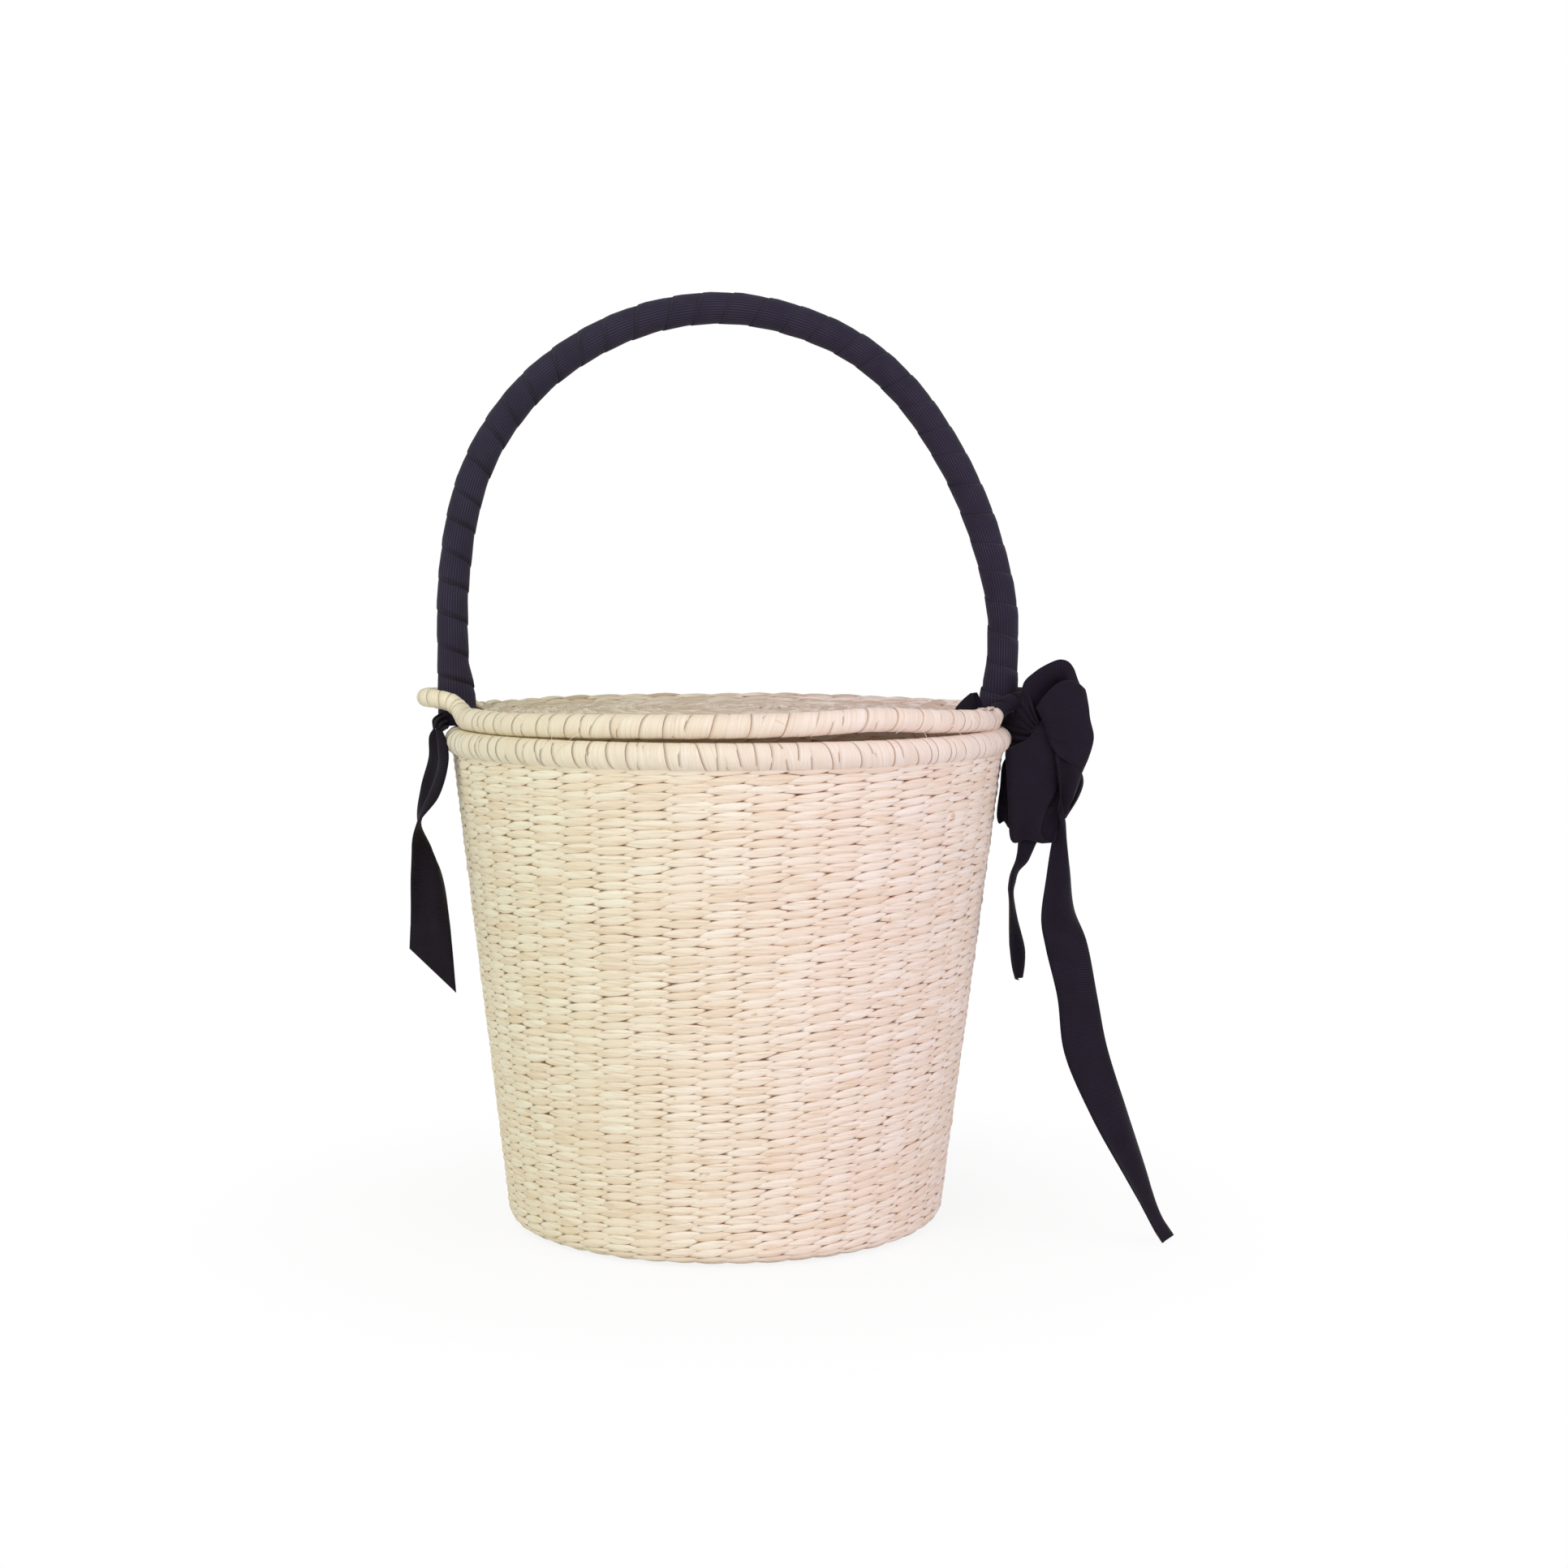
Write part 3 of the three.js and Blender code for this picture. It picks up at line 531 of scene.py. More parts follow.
def stitch_shape():
    """A lens one unit long and high on each side of its middle, with its tips sunk by one unit."""
    stations = [-0.8, -0.48, -0.16, 0.16, 0.48, 0.8]
    section = [(-1.0, -0.42), (-0.62, 0.16), (0.0, 0.42), (0.62, 0.16), (1.0, -0.42)]
    around = len(section)
    points, border, tip = [(-1.0, 0.0, TIP_SINK)], [1.0], [1.0]
    for t in stations:
        tall = (1 - abs(t) ** 1.5) ** 0.9
        sunk = math.cos(math.pi * t / 2) ** 0.5 - 1
        for y, z in section:
            points.append((t, y * tall, sunk + z * (0.45 + 0.55 * tall)))
            border.append(abs(y))
            tip.append(abs(t))
    points.append((1.0, 0.0, TIP_SINK))
    border.append(1.0)
    tip.append(1.0)
    faces = []
    for k in range(around):
        after = (k + 1) % around
        faces.append((0, 1 + after, 1 + k))
        for i in range(len(stations) - 1):
            a = 1 + around * i
            b = a + around
            faces.append((a + k, a + after, b + after, b + k))
        end = 1 + around * (len(stations) - 1)
        faces.append((end + k, end + after, len(points) - 1))
    return points, faces, border, tip


points, faces, border, tip = stitch_shape()
stitch = facing_out(built("stitch", points, faces, smooth=False))
for label, values in (("border", border), ("tip", tip)):
    stitch.data.attributes.new(label, "FLOAT", "POINT").data.foreach_set("value", values)
print("a stitch has", len(faces), "faces")


# %% The weaving tree
ROW_WANDER = 2.6 * MM


def weaving_tree():
    """Lays the stitches out flat, each a little out of line, and rolls them up."""
    tree, given = new_tree(
        "Twined weave",
        Object="stitch profile",
        Int="columns rows seed",
        Float="start pitch drawn overlap height drift depth rough side slant lean",
        Material="material",
    )
    columns, pitch, depth = given.columns, given.pitch, given.depth
    points = made("GeometryNodePoints", Count=columns * given.rows)
    index = made("GeometryNodeInputIndex")
    row = maths("FLOOR", index / columns)
    column = maths("MODULO", index, columns)
    spacing = given.drawn * (2 * math.pi) / columns

    def chance(low, high, salt):
        box = node("FunctionNodeRandomValue", {"data_type": "FLOAT"}, Min=low, Max=high,
                   Seed=given.seed + salt)
        return out(box, "Value")

    x = (column + row * given.drift) * spacing + spacing * chance(-0.035, 0.035, 1)
    y = given.start + row * pitch + pitch * chance(-0.05, 0.05, 2)
    z = depth * given.rough * chance(-1.0, 0.6, 3)
    turn = joined(0.0, 0.0, given.slant + chance(-0.04, 0.04, 4))
    size = joined(spacing * given.overlap * chance(0.94, 1.08, 5),
                  pitch * given.height * chance(0.94, 1.1, 6),
                  depth * chance(0.85, 1.15, 7))
    rotation = made("FunctionNodeEulerToRotation", Euler=turn)
    copies = made("GeometryNodeInstanceOnPoints", Points=moved(points, joined(x, y, z)),
                  Instance=geometry_of(given.stitch), Rotation=rotation, Scale=size)
    tinted = stored(copies, "tint", chance(0.0, 1.0, 8), domain="INSTANCE")
    real = made("GeometryNodeRealizeInstances", Geometry=tinted)
    place = made("GeometryNodeInputPosition")
    kept = stored(real, "flat", place, "FLOAT_VECTOR")
    finish_tree(roll_up(given, kept, place), given.material)
    return tree


def roll_up(given, geometry, place):
    """Rolls the flat work up round the axis, along the profile, with a little wander of its rows."""
    x, y, z = parts(place)
    angle = x / given.drawn
    cosine = maths("COSINE", angle)
    sine = maths("SINE", angle)
    wander = noise(joined(cosine * 2.2, sine * 2.2, y * 28.0), 1.0) - 0.5
    sample = sampled(given.profile, y + wander * ROW_WANDER)
    radius, _, level = parts(out(sample, "Position"))
    run, _, climb = parts(out(sample, "Tangent"))
    proud = z * given.side
    radius = radius + proud * climb
    level = level - proud * run
    leaning = given.lean * (1.0 - level / RIM_HEIGHT)
    return moved(geometry, joined(radius * cosine - leaning, radius * sine, level))


weaving = weaving_tree()
print("tree", weaving.name, "with", len(weaving.nodes), "nodes")

# %% [markdown]
# ## Profiles
#
# The outside of the base runs on round the bend into the wall, so one profile serves both. Points a
# millimetre apart keep the direction right where a straight run meets the bend.


# %% Profiles
STITCH_SINK = 1 * MM
LINING_SINK = 1.2 * MM
INNER_BEND = 3 * MM
FLARE = (RIM_RADIUS + WALL_PROUD - WALL_FOOT) / (RIM_HEIGHT - CORNER)


def lengths_along(points):
    """How far along a line each of its corners lies."""
    return np.r_[0, np.cumsum(np.linalg.norm(np.diff(points, axis=0), axis=1))]


def evenly(points, step=1 * MM):
    """Points a step apart along a line of corners."""
    points = np.array(points, float)
    lengths = lengths_along(points)
    wanted = np.linspace(0, lengths[-1], max(2, int(lengths[-1] / step)))
    return np.stack([np.interp(wanted, lengths, points[:, k]) for k in range(points.shape[1])], 1)


def length_of(points):
    return float(np.linalg.norm(np.diff(np.array(points), axis=0), axis=1).sum())


def wall_outside(height):
    return WALL_FOOT + FLARE * (height - CORNER)


def base_bend(x, z, radius, count):
    """Points on the quarter circle from the base to the wall, round the middle (x, z)."""
    angles = [math.pi / 2 * k / count for k in range(1, count + 1)]
    return [(x + radius * math.sin(a), 0, z - radius * math.cos(a)) for a in angles]


def outer_profile():
    """From the middle of the base out to the bend and up to the rim, sunk by a stitch's depth."""
    top = RIM_HEIGHT - 2 * MM
    line = [(0, 0, STITCH_SINK), (FLOOR_RADIUS, 0, STITCH_SINK)]
    line += base_bend(FLOOR_RADIUS, CORNER, CORNER - STITCH_SINK, 8)
    return evenly(line + [(wall_outside(top) - STITCH_SINK, 0, top)])


def inner_profile():
    """From the middle of the base's upper face out and up the inside of the wall."""
    floor = BASE_THICKNESS - LINING_SINK
    side = wall_outside(floor + INNER_BEND) - WALL + LINING_SINK
    top = RIM_HEIGHT - 1 * MM
    line = [(0, 0, floor), (side - INNER_BEND, 0, floor)]
    line += base_bend(side - INNER_BEND, floor + INNER_BEND, INNER_BEND, 6)
    return evenly(line + [(wall_outside(top) - WALL + LINING_SINK, 0, top)])


outer = outer_profile()
inner = inner_profile()
print("outer profile", round(length_of(outer), 4), "m, inner", round(length_of(inner), 4), "m")

# %% [markdown]
# ## Weaving the body
#
# Near the middle of a round base there is room for only a few stakes, and more are put in as it
# grows. So each zone has its own number of stitches, which keeps them about 20 mm long at most.


# %% Weaving the body
ROW_PITCH = 4.1 * MM
DRAWN = 120 * MM
WALL_COLUMNS = 46
OVERLAP = 0.82
STITCH_HEIGHT = 0.76
DRIFT = 0.01
CLIMB = 0.5


def zones_between(start, end):
    """(columns, from, to) for the rings of a disc: the number of stitches doubles as it grows."""
    steps = [(6, 3 * MM, 20 * MM), (12, 20 * MM, 38 * MM), (24, 38 * MM, 76 * MM), (48, 76 * MM, 1.0)]
    return [(count, max(a, start), min(b, end)) for count, a, b in steps if max(a, start) < min(b, end)]


def weave(name, line, zones, side, lean, material, depth=1.5 * MM, seed=1, rough=0.16):
    """Twines rows along a profile. A stitch climbs by part of a row from one stake to the next.
    Side is 1 where the work lies on the right of the profile as it runs, and -1 on its left."""
    profile = line_through(name + "_profile", line)
    rings = []
    for k, (columns, start, end) in enumerate(zones):
        rows = max(1, round((end - start) / ROW_PITCH))
        step = (end - start) / rows
        slant = CLIMB * step / (2 * math.pi * DRAWN / columns)
        rings.append(grown(
            f"{name}_{k}", weaving, stitch=stitch, profile=profile, columns=columns, rows=rows,
            start=start + step / 2, pitch=step, drawn=DRAWN, overlap=OVERLAP, height=STITCH_HEIGHT,
            drift=DRIFT, depth=depth, rough=rough, side=side, slant=slant * side, lean=lean,
            seed=seed + 10 * k, material=material,
        ))
    bpy.data.objects.remove(profile)
    piece = fused(name, rings) if len(rings) > 1 else rings[0]
    piece.name = piece.data.name = name
    if side < 0:
        piece.data.flip_normals()
    print(name, triangles(piece), "triangles")
    return piece


OUTER_BEND = FLOOR_RADIUS - 1 * MM
LINING_BEND = FLOOR_RADIUS - 2 * MM
OUTER_END = length_of(outer) - 2 * MM
LINING_END = length_of(inner) - 4 * MM
outer_zone = [(WALL_COLUMNS, OUTER_BEND, OUTER_END)]
lining_zone = [(WALL_COLUMNS, LINING_BEND, LINING_END)]
base_outside = weave("base_outside", outer, zones_between(0, OUTER_BEND), 1, LEAN, straw, seed=3)
wall_weave = weave("wall_weave", outer, outer_zone, 1, LEAN, straw, seed=5)
base_inside = weave("base_inside", inner, zones_between(0, LINING_BEND), -1, LEAN, straw, seed=13)
wall_lining = weave("wall_lining", inner, lining_zone, -1, LEAN, straw, seed=15)

# %% [markdown]
# ## The stakes
#
# Between the two faces of the weave stand the stakes that the strips are twined over. They show
# only as a dark line where a stitch dives, so one ribbed shell stands for them all, in a straw
# painted dark: painted shade in those gaps.


# %% The stakes
STAKES = 96
STAKE_HALF = 0.9 * MM
STAKE_SWELL = 0.25 * MM


def lathe_mesh(name, outline, sides, material, swell=0.0, ribs=0, lean=0.0):
    """Turns a closed outline of radii and heights round the axis, with a rib for each stake."""
    outline = np.array(outline)
    rings = len(outline)
    shift = lean * (1 - outline[:, 1] / RIM_HEIGHT)
    spots = []
    for a in np.linspace(0, 2 * math.pi, sides, endpoint=False):
        radius = outline[:, 0] + swell * math.cos(ribs * a)
        radius = np.where(outline[:, 0] <= 0, 0, radius)
        spots.append(np.stack([radius * math.cos(a) - shift, radius * math.sin(a), outline[:, 1]], 1))
    faces = []
    for i in range(sides):
        j = (i + 1) % sides
        for k in range(rings):
            m = (k + 1) % rings
            if outline[k, 0] > 0 or outline[m, 0] > 0:
                faces.append((i * rings + k, j * rings + k, j * rings + m, i * rings + m))
    piece = built(name, np.vstack(spots), faces, material, smooth=False)
    merged(piece)
    return facing_out(piece)


def stakes_outline():
    """Out along the base, up the wall, and back down its inner side."""
    foot = CORNER + 4 * MM
    low = BASE_THICKNESS / 2
    under = [(0, low - STAKE_HALF), (FLOOR_RADIUS, low - STAKE_HALF),
             (WALL_FOOT - WALL / 2 + STAKE_HALF - 1 * MM, CORNER - 2 * MM)]
    outside = [(wall_outside(z) - WALL / 2 + STAKE_HALF, z) for z in (foot, RIM_HEIGHT)]
    inside = [(wall_outside(z) - WALL / 2 - STAKE_HALF, z) for z in (RIM_HEIGHT, foot)]
    return under + outside + inside + [(FLOOR_RADIUS - 2 * MM, low + STAKE_HALF), (0, low + STAKE_HALF)]


stakes = lathe_mesh("stakes", stakes_outline(), 4 * STAKES, gap_straw_painted_shade, STAKE_SWELL, STAKES, LEAN)
print("stakes", triangles(stakes), "triangles")

# %% [markdown]
# ## Wrapping a strip round a path
#
# The rim, the lid's hoop, its ears and the handle are all made alike: one long strip is wound round
# a core, and each turn covers the edge of the turn before. The tree winds a strip round a straight
# axis first, where the sums are easy, and then bends that axis along a path. A strip has a lens for
# its section, tilted so that one edge lies lower than the other: that is what makes the steps.


# %% The wrapping tree
def wrapping_tree():
    """A grid, as long as the strip and as wide as its lens goes round, becomes the wound strip."""
    tree, given = new_tree(
        "Wrapped strip",
        Object="path",
        Int="steps",
        Float="length turns tube end_radius end_length width thickness lap wander crease hand seed",
        Material="material",
    )
    turns, length, tube = given.turns, given.length, given.tube
    grid = node("GeometryNodeMeshGrid", Size_X=1.0, Size_Y=1.0, Vertices_X=given.steps, Vertices_Y=9)
    u, v, _ = parts(made("GeometryNodeInputPosition"))
    u = u + 0.5
    v = (v + 0.5) * (2 * math.pi)
    turn = u * turns
    angle = turn * (2 * math.pi) * given.hand
    lens_x = maths("COSINE", v)
    lens_y = maths("SINE", v)
    noisy = joined(turn * 0.55, given.seed, 0.0)
    wander = (noise(noisy, 1.0) - 0.5) * given.wander
    fine = joined(turn * 3.1, lens_x * 1.2, given.seed)
    crease = (noise(fine, 2.0) - 0.5) * given.crease
    across = lens_x * (given.width * 0.5)
    along = u * length + wander + across
    near_end = maths("MINIMUM", along, length - along)
    full = eased(near_end / given.end_length, 0.0, 1.0)
    core = given.end_radius + full * (tube - given.end_radius)
    thinned = maths("MINIMUM", 1.0, maths("MINIMUM", turn, turns - turn) * 8.0)
    thick = lens_y * (given.thickness * 0.5) * maths("MAXIMUM", thinned, 0.0)
    radius = core + thick + (crease - lens_x * (given.lap * 0.5))

    sample = sampled(given.path, along)
    side = out(sample, "Normal")
    up = vectors("CROSS_PRODUCT", out(sample, "Tangent"), side)
    swing = vectors("ADD", scaled(side, radius * maths("COSINE", angle)),
                    scaled(up, radius * maths("SINE", angle)))
    bent = vectors("ADD", out(sample, "Position"), swing)
    strip = joined(turn * (tube * (2 * math.pi)), across, turn)
    marked = stored(out(grid, "Mesh"), "strip", strip, "FLOAT_VECTOR")
    edged = stored(marked, "edge", maths("ABSOLUTE", lens_x))
    closed = made("GeometryNodeMergeByDistance", Geometry=moved(edged, bent), Distance=1e-6)
    finish_tree(closed, given.material)
    return tree


winding = wrapping_tree()
print("tree", winding.name, "with", len(winding.nodes), "nodes")


# %% Winding a strip
def wrap(name, path, radius, pitch, width, thickness, lap, material, end_radius=None,
         end_length=1 * MM, wander=0.0, crease=0.0, hand=1, seed=1.0, steps=18):
    """Winds a strip round a path. It may thin out to another radius over its two ends."""
    line = line_through(name + "_path", path)
    length = length_of(path)
    turns = length / pitch
    piece = grown(
        name, winding, path=line, length=length, turns=turns, steps=int(turns * steps) + 1, tube=radius,
        end_radius=end_radius or radius, end_length=end_length, width=width, thickness=thickness,
        lap=lap, wander=wander, crease=crease, hand=float(hand), seed=seed, material=material,
    )
    bpy.data.objects.remove(line)
    print(name, round(turns), "turns,", triangles(piece), "triangles")
    return facing_out(piece)


def tube_mesh(name, path, radius, sides, material):
    """A plain closed tube along a path, for the core that shows through a gap in a wrapping."""
    path = np.array(path)
    ahead = np.gradient(path, axis=0)
    ahead /= np.linalg.norm(ahead, axis=1)[:, None]
    up = np.array([0, 0, 1.0]) if abs(ahead[:, 2]).max() < 0.9 else np.array([0, 1.0, 0])
    side = np.cross(ahead, up)
    side /= np.linalg.norm(side, axis=1)[:, None]
    up = np.cross(side, ahead)
    angles = np.linspace(0, 2 * math.pi, sides, endpoint=False)
    spots = [p + radius * (math.cos(a) * s + math.sin(a) * u)
             for p, s, u in zip(path, side, up) for a in angles]
    ends = [tuple(range(sides))[::-1], tuple(range((len(path) - 1) * sides, len(path) * sides))]
    return facing_out(built(name, spots, grid_faces(len(path), sides, closed=True) + ends, material))


# %% [markdown]
# ## The rim
#
# The rim's binding is a strip 14 mm wide, wound with a pitch of 6.4 mm, so each turn hides more
# than half of the last one. The path goes once round and on a little at the back, so that its two
# ends lie under each other.


# %% The rim
def circle(radius, height, start, end, count):
    angles = np.radians(np.linspace(start, end, count))
    return np.stack([radius * np.cos(angles), radius * np.sin(angles), np.full(count, height)], 1)


rim_path = circle(RIM_RADIUS, RIM_HEIGHT, 90, 452, 500)
rim_strip = wrap("rim_strip", rim_path, RIM_TUBE / 2 - 0.2 * MM, pitch=6.4 * MM, width=14 * MM,
                 thickness=0.3 * MM, lap=0.3 * MM, material=rim_wrapping, wander=22 * MM,
                 crease=0.45 * MM, seed=2.0)
# The bed shows only through gaps in the binding, in the straw painted dark as shade.
rim_bed = tube_mesh("rim_bed", rim_path, RIM_TUBE / 2 - 0.7 * MM, 16, gap_straw_painted_shade)

# %% [markdown]
# ## The lid's hoop and its ears
#
# The hoop follows a circle, and at each leg of the handle it runs out round the leg and back, which
# makes an ear. The hoop is hand-bent: at the front it stands a little proud of the rim, and a dark
# gap shows there. A short cord closes each ear on its inner side.


# %% The lid's hoop and its ears
PROUD_AT = [-140, -128, -110, -85, -72, -62, -54, -45, -34, -24, -11, -4, 0, 22, 40, 150, 166]
PROUD = [0, 0.6, 1.4, 1.9, 2.6, 3.7, 3.2, 1.7, 0.5, -0.4, -2.6, -1, 0, 0, -1.1, -1.1, 0]
BACK_THINNER = 1.1 * MM


def curve_through(points, steps):
    """Points along a centripetal Catmull-Rom curve, the way the part's source draws its curves."""
    points = np.array(points, float)
    last = len(points) - 1
    padded = [2 * points[0] - points[1], *points, 2 * points[-1] - points[-2]]
    result = []
    for i in range(steps + 1):
        place = i / steps * last
        k = min(int(place), last - 1)
        weight = place - k
        p0, p1, p2, p3 = padded[k:k + 4]
        d0, d1, d2 = (max(np.linalg.norm(b - a) ** 0.5, 1e-6) for a, b in ((p0, p1), (p1, p2), (p2, p3)))
        t1 = ((p1 - p0) / d0 - (p2 - p0) / (d0 + d1) + (p2 - p1) / d1) * d1
        t2 = ((p2 - p1) / d1 - (p3 - p1) / (d1 + d2) + (p3 - p2) / d2) * d1
        c2 = -3 * p1 + 3 * p2 - 2 * t1 - t2
        c3 = 2 * p1 - 2 * p2 + t1 + t2
        result.append(p1 + t1 * weight + c2 * weight**2 + c3 * weight**3)
    return np.array(result)


def ear_path():
    """Out round a leg and back. A point is drawn by its shares of the ear's width, reach and rise."""
    def point(across, reach, rise):
        y = across * EAR_HALF
        on_circle = math.sqrt(LID_RADIUS**2 - y**2)
        return (on_circle + reach * (EAR_REACH - on_circle), -y, LID_HEIGHT + rise * EAR_RISE)

    front = [point(2, 0, 0), point(1.58, 0, 0), point(1.25, 0, 0.02), point(0.875, 0.07, 0.37),
             point(0.64, 0.28, 0.77), point(0.51, 0.62, 0.95), point(0.28, 0.9, 1), point(0, 1, 1)]
    back = [(x, -y, z) for x, y, z in front[-2::-1]]
    return evenly(curve_through(front + back, 90))


def turned_round(path):
    return path * np.array([-1, -1, 1])


def lifted(path):
    """Moves a path up or down to where the hand-bent hoop really runs."""
    path = path.copy()
    angle = np.degrees(np.arctan2(path[:, 1], path[:, 0]))
    path[:, 2] += np.interp(angle, PROUD_AT, PROUD) * MM
    return path


def front_hoop(ear, ear_start):
    """From the left ear along the front to the ear at the bow."""
    first = math.degrees(math.asin(2 * EAR_HALF / LID_RADIUS))
    front = circle(LID_RADIUS, LID_HEIGHT, 180 + first, 360 - first, 260)
    left = turned_round(ear[-ear_start:])
    return np.vstack([left[:-1], front, ear[1:ear_start]])


def ear_cord_path(side):
    half = 20 * MM
    return np.array([(side * EAR_CORD_RADIUS, y, LID_HEIGHT) for y in np.linspace(-half, half, 20)])


ear = ear_path()
inside_ear = np.abs(ear[:, 1]) < EAR_HALF
ear_only = ear[inside_ear]
hoop_plain = front_hoop(ear, int(np.argmax(inside_ear)) + 3)
hoop_front = evenly(lifted(hoop_plain))
hoop_back = evenly(lifted(turned_round(hoop_plain)))
hoop_radius = LID_TUBE / 2 - 0.2 * MM
bed_radius = LID_TUBE / 2 - 1.2 * MM
hoop_look = dict(pitch=7.6 * MM, width=14 * MM, thickness=0.5 * MM, lap=0.45 * MM, wander=18 * MM,
                 crease=0.6 * MM, hand=-1, material=wrapping, end_radius=EAR_TUBE / 2, end_length=20 * MM)
lid_front = wrap("lid_strip_front", hoop_front, hoop_radius, seed=4.0, **hoop_look)
lid_back = wrap("lid_strip_back", hoop_back, hoop_radius - BACK_THINNER, seed=9.0, **hoop_look)
ear_radius = EAR_TUBE / 2 - 0.3 * MM
left_ear = wrap("left_ear_strip", turned_round(ear_only), ear_radius, pitch=5.5 * MM, width=9 * MM,
                thickness=0.7 * MM, lap=0.7 * MM, material=wrapping, wander=3 * MM,
                crease=0.3 * MM, seed=5.0)
right_ear = wrap("right_ear_ribbon_turns", lifted(ear_only), ear_radius, pitch=9 * MM, width=16 * MM,
                 thickness=0.6 * MM, lap=0.5 * MM, material=ribbon_cloth_painted_shade, wander=2 * MM,
                 crease=0.3 * MM, seed=6.0)
bed_front = tube_mesh("lid_bed_front", hoop_front, bed_radius, 12, lid_straw_painted_shade)
bed_back = tube_mesh("lid_bed_back", hoop_back, bed_radius - BACK_THINNER, 12, lid_straw_painted_shade)
cord_look = dict(radius=1.8 * MM, pitch=4 * MM, width=6 * MM, thickness=0.5 * MM, lap=0.3 * MM,
                 material=wrapping)
left_cord = wrap("left_ear_cord_strip", ear_cord_path(-1), **cord_look)
right_cord = wrap("right_ear_cord_strip", ear_cord_path(1), **cord_look)

# %% [markdown]
# Palm strip splits, so a few fibres as fine as hairs stand off the hoop. Each one is a thin tube
# that starts on the binding and curls up.


# %% Stray fibres
FIBRES = 26


def stray_fibre(name, chance):
    tilt, reach = math.radians(chance.uniform(-150, -25)), chance.uniform(5, 16) * MM
    outwards = np.array([math.cos(tilt), math.sin(tilt), 0])
    start = LID_RADIUS * outwards + np.array([0, 0, LID_HEIGHT + chance.uniform(-3, 5) * MM])
    way = chance.uniform(-1, 1, 3) + 0.4 * outwards
    curl = chance.uniform(-0.5, 0.5, 3)
    start = start + outwards * (LID_TUBE / 2 - 0.6 * MM)
    share = np.array([0.7, 0.5, 0.6])
    line = [start + reach * (way * t + curl * t * t) * share for t in np.linspace(0, 1, 9)]
    return tube_mesh(name, line, 0.1 * MM, 4, wrapping)


fibre_chance = np.random.default_rng(12)
stray_fibres = fused("stray_fibres", [stray_fibre(f"fibre_{k}", fibre_chance) for k in range(FIBRES)])

# %% [markdown]
# ## The lid
#
# The lid is twined like the base, in rings that gain stitches as they grow. It has two faces, with
# a thin disc of stakes between them. Its edge sinks a little at the back, where the hoop is
# thinner, and is drawn in at both legs of the handle, so that the lid can slide up past them.


# %% The lid
LID_EDGE = LID_RADIUS - LID_TUBE / 2
SETTLED_AT = [0, 30, 90, 150, 180]
SETTLED = [0, 1.4, 0.9, 1.0, 0]
LEG_ROOM = [12 * MM, 21 * MM]
LEG_ROOM_FROM = 108 * MM
LEG_ROOM_SHARE = 0.42
LEG_ROOM_HEIGHT = 1.6 * MM


def dome(radii, edge):
    """How much the lid rises above its edge."""
    return LID_RISE * (1 - (radii / edge) ** 2)


def lid_top_profile():
    """Over the dome and up the inner side of the hoop, to its top, with a soft bend between them."""
    top = LID_THICKNESS / 2 - 1.2 * MM
    tube = LID_TUBE / 2 - 0.4 * MM
    line = [(r, 0, LID_HEIGHT + top + dome(r, LID_EDGE)) for r in np.linspace(0, LID_EDGE - 5 * MM, 12)]
    for tilt in np.radians(np.linspace(136, 76, 5)):
        line.append((LID_RADIUS + tube * math.cos(tilt), 0, LID_HEIGHT + tube * math.sin(tilt)))
    return evenly(curve_through(line, 200))


def lid_under_profile():
    edge = LID_RADIUS - 2 * MM
    offset = -LID_THICKNESS / 2 + 0.9 * MM
    return evenly([(r, 0, LID_HEIGHT + offset + dome(r, edge)) for r in np.linspace(0, edge, 60)])


def lid_disc_outline():
    edge = LID_RADIUS - 3 * MM
    radii = np.linspace(0, edge, 14)
    top = [(r, LID_HEIGHT + dome(r, edge) - 0.2 * MM) for r in radii]
    under = [(r, LID_HEIGHT + dome(r, edge) - 0.7 * MM) for r in radii[::-1]]
    return top + under


def settle_at_the_back(piece):
    """Lets the outer rows sink a little where the hoop behind them is thinner."""
    spots = spots_of(piece)
    angle = np.degrees(np.arctan2(spots[:, 1], spots[:, 0]))
    reach = np.hypot(spots[:, 0], spots[:, 1]) / LID_RADIUS
    drop = np.interp(angle, SETTLED_AT, SETTLED) * MM
    spots[:, 2] -= drop * reach**4
    put_spots(piece, spots)


def make_room_for_the_legs(piece):
    """Draws the edge of the lid in at both legs, as far as the cord that closes each ear."""
    spots = spots_of(piece)
    near = np.interp(np.abs(spots[:, 1]), LEG_ROOM, [1, 0])
    beyond = np.maximum(np.abs(spots[:, 0]) - LEG_ROOM_FROM, 0)
    spots[:, 0] -= np.sign(spots[:, 0]) * near * beyond * LEG_ROOM_SHARE
    above = np.maximum(spots[:, 2] - LID_HEIGHT - LEG_ROOM_HEIGHT, 0)
    spots[:, 2] -= near * above * np.minimum(beyond / LEG_ROOM[0], 1)
    put_spots(piece, spots)


lid_line = lid_top_profile()
lid_top = weave("lid_top", lid_line, zones_between(0, length_of(lid_line)), side=-1, lean=0.0,
                material=lid_straw_painted_shade, depth=1.7 * MM, seed=31, rough=0.2)
lid_under = weave("lid_under", lid_under_profile(), zones_between(0, LID_EDGE), side=1, lean=0.0,
                  material=straw, depth=1.1 * MM, seed=41)
lid_disc = lathe_mesh("lid_stakes", lid_disc_outline(), 2 * STAKES, lid_straw_painted_shade)
for part in (lid_top, lid_under, lid_disc):
    settle_at_the_back(part)
    make_room_for_the_legs(part)

# %% [markdown]
# ## The handle
#
# The ribbon goes round the cane at a slant, and each turn covers a third of the last one. Near each
# foot the turns pile up on the inner side.


# %% The handle
PILE_HEIGHT = 34 * MM


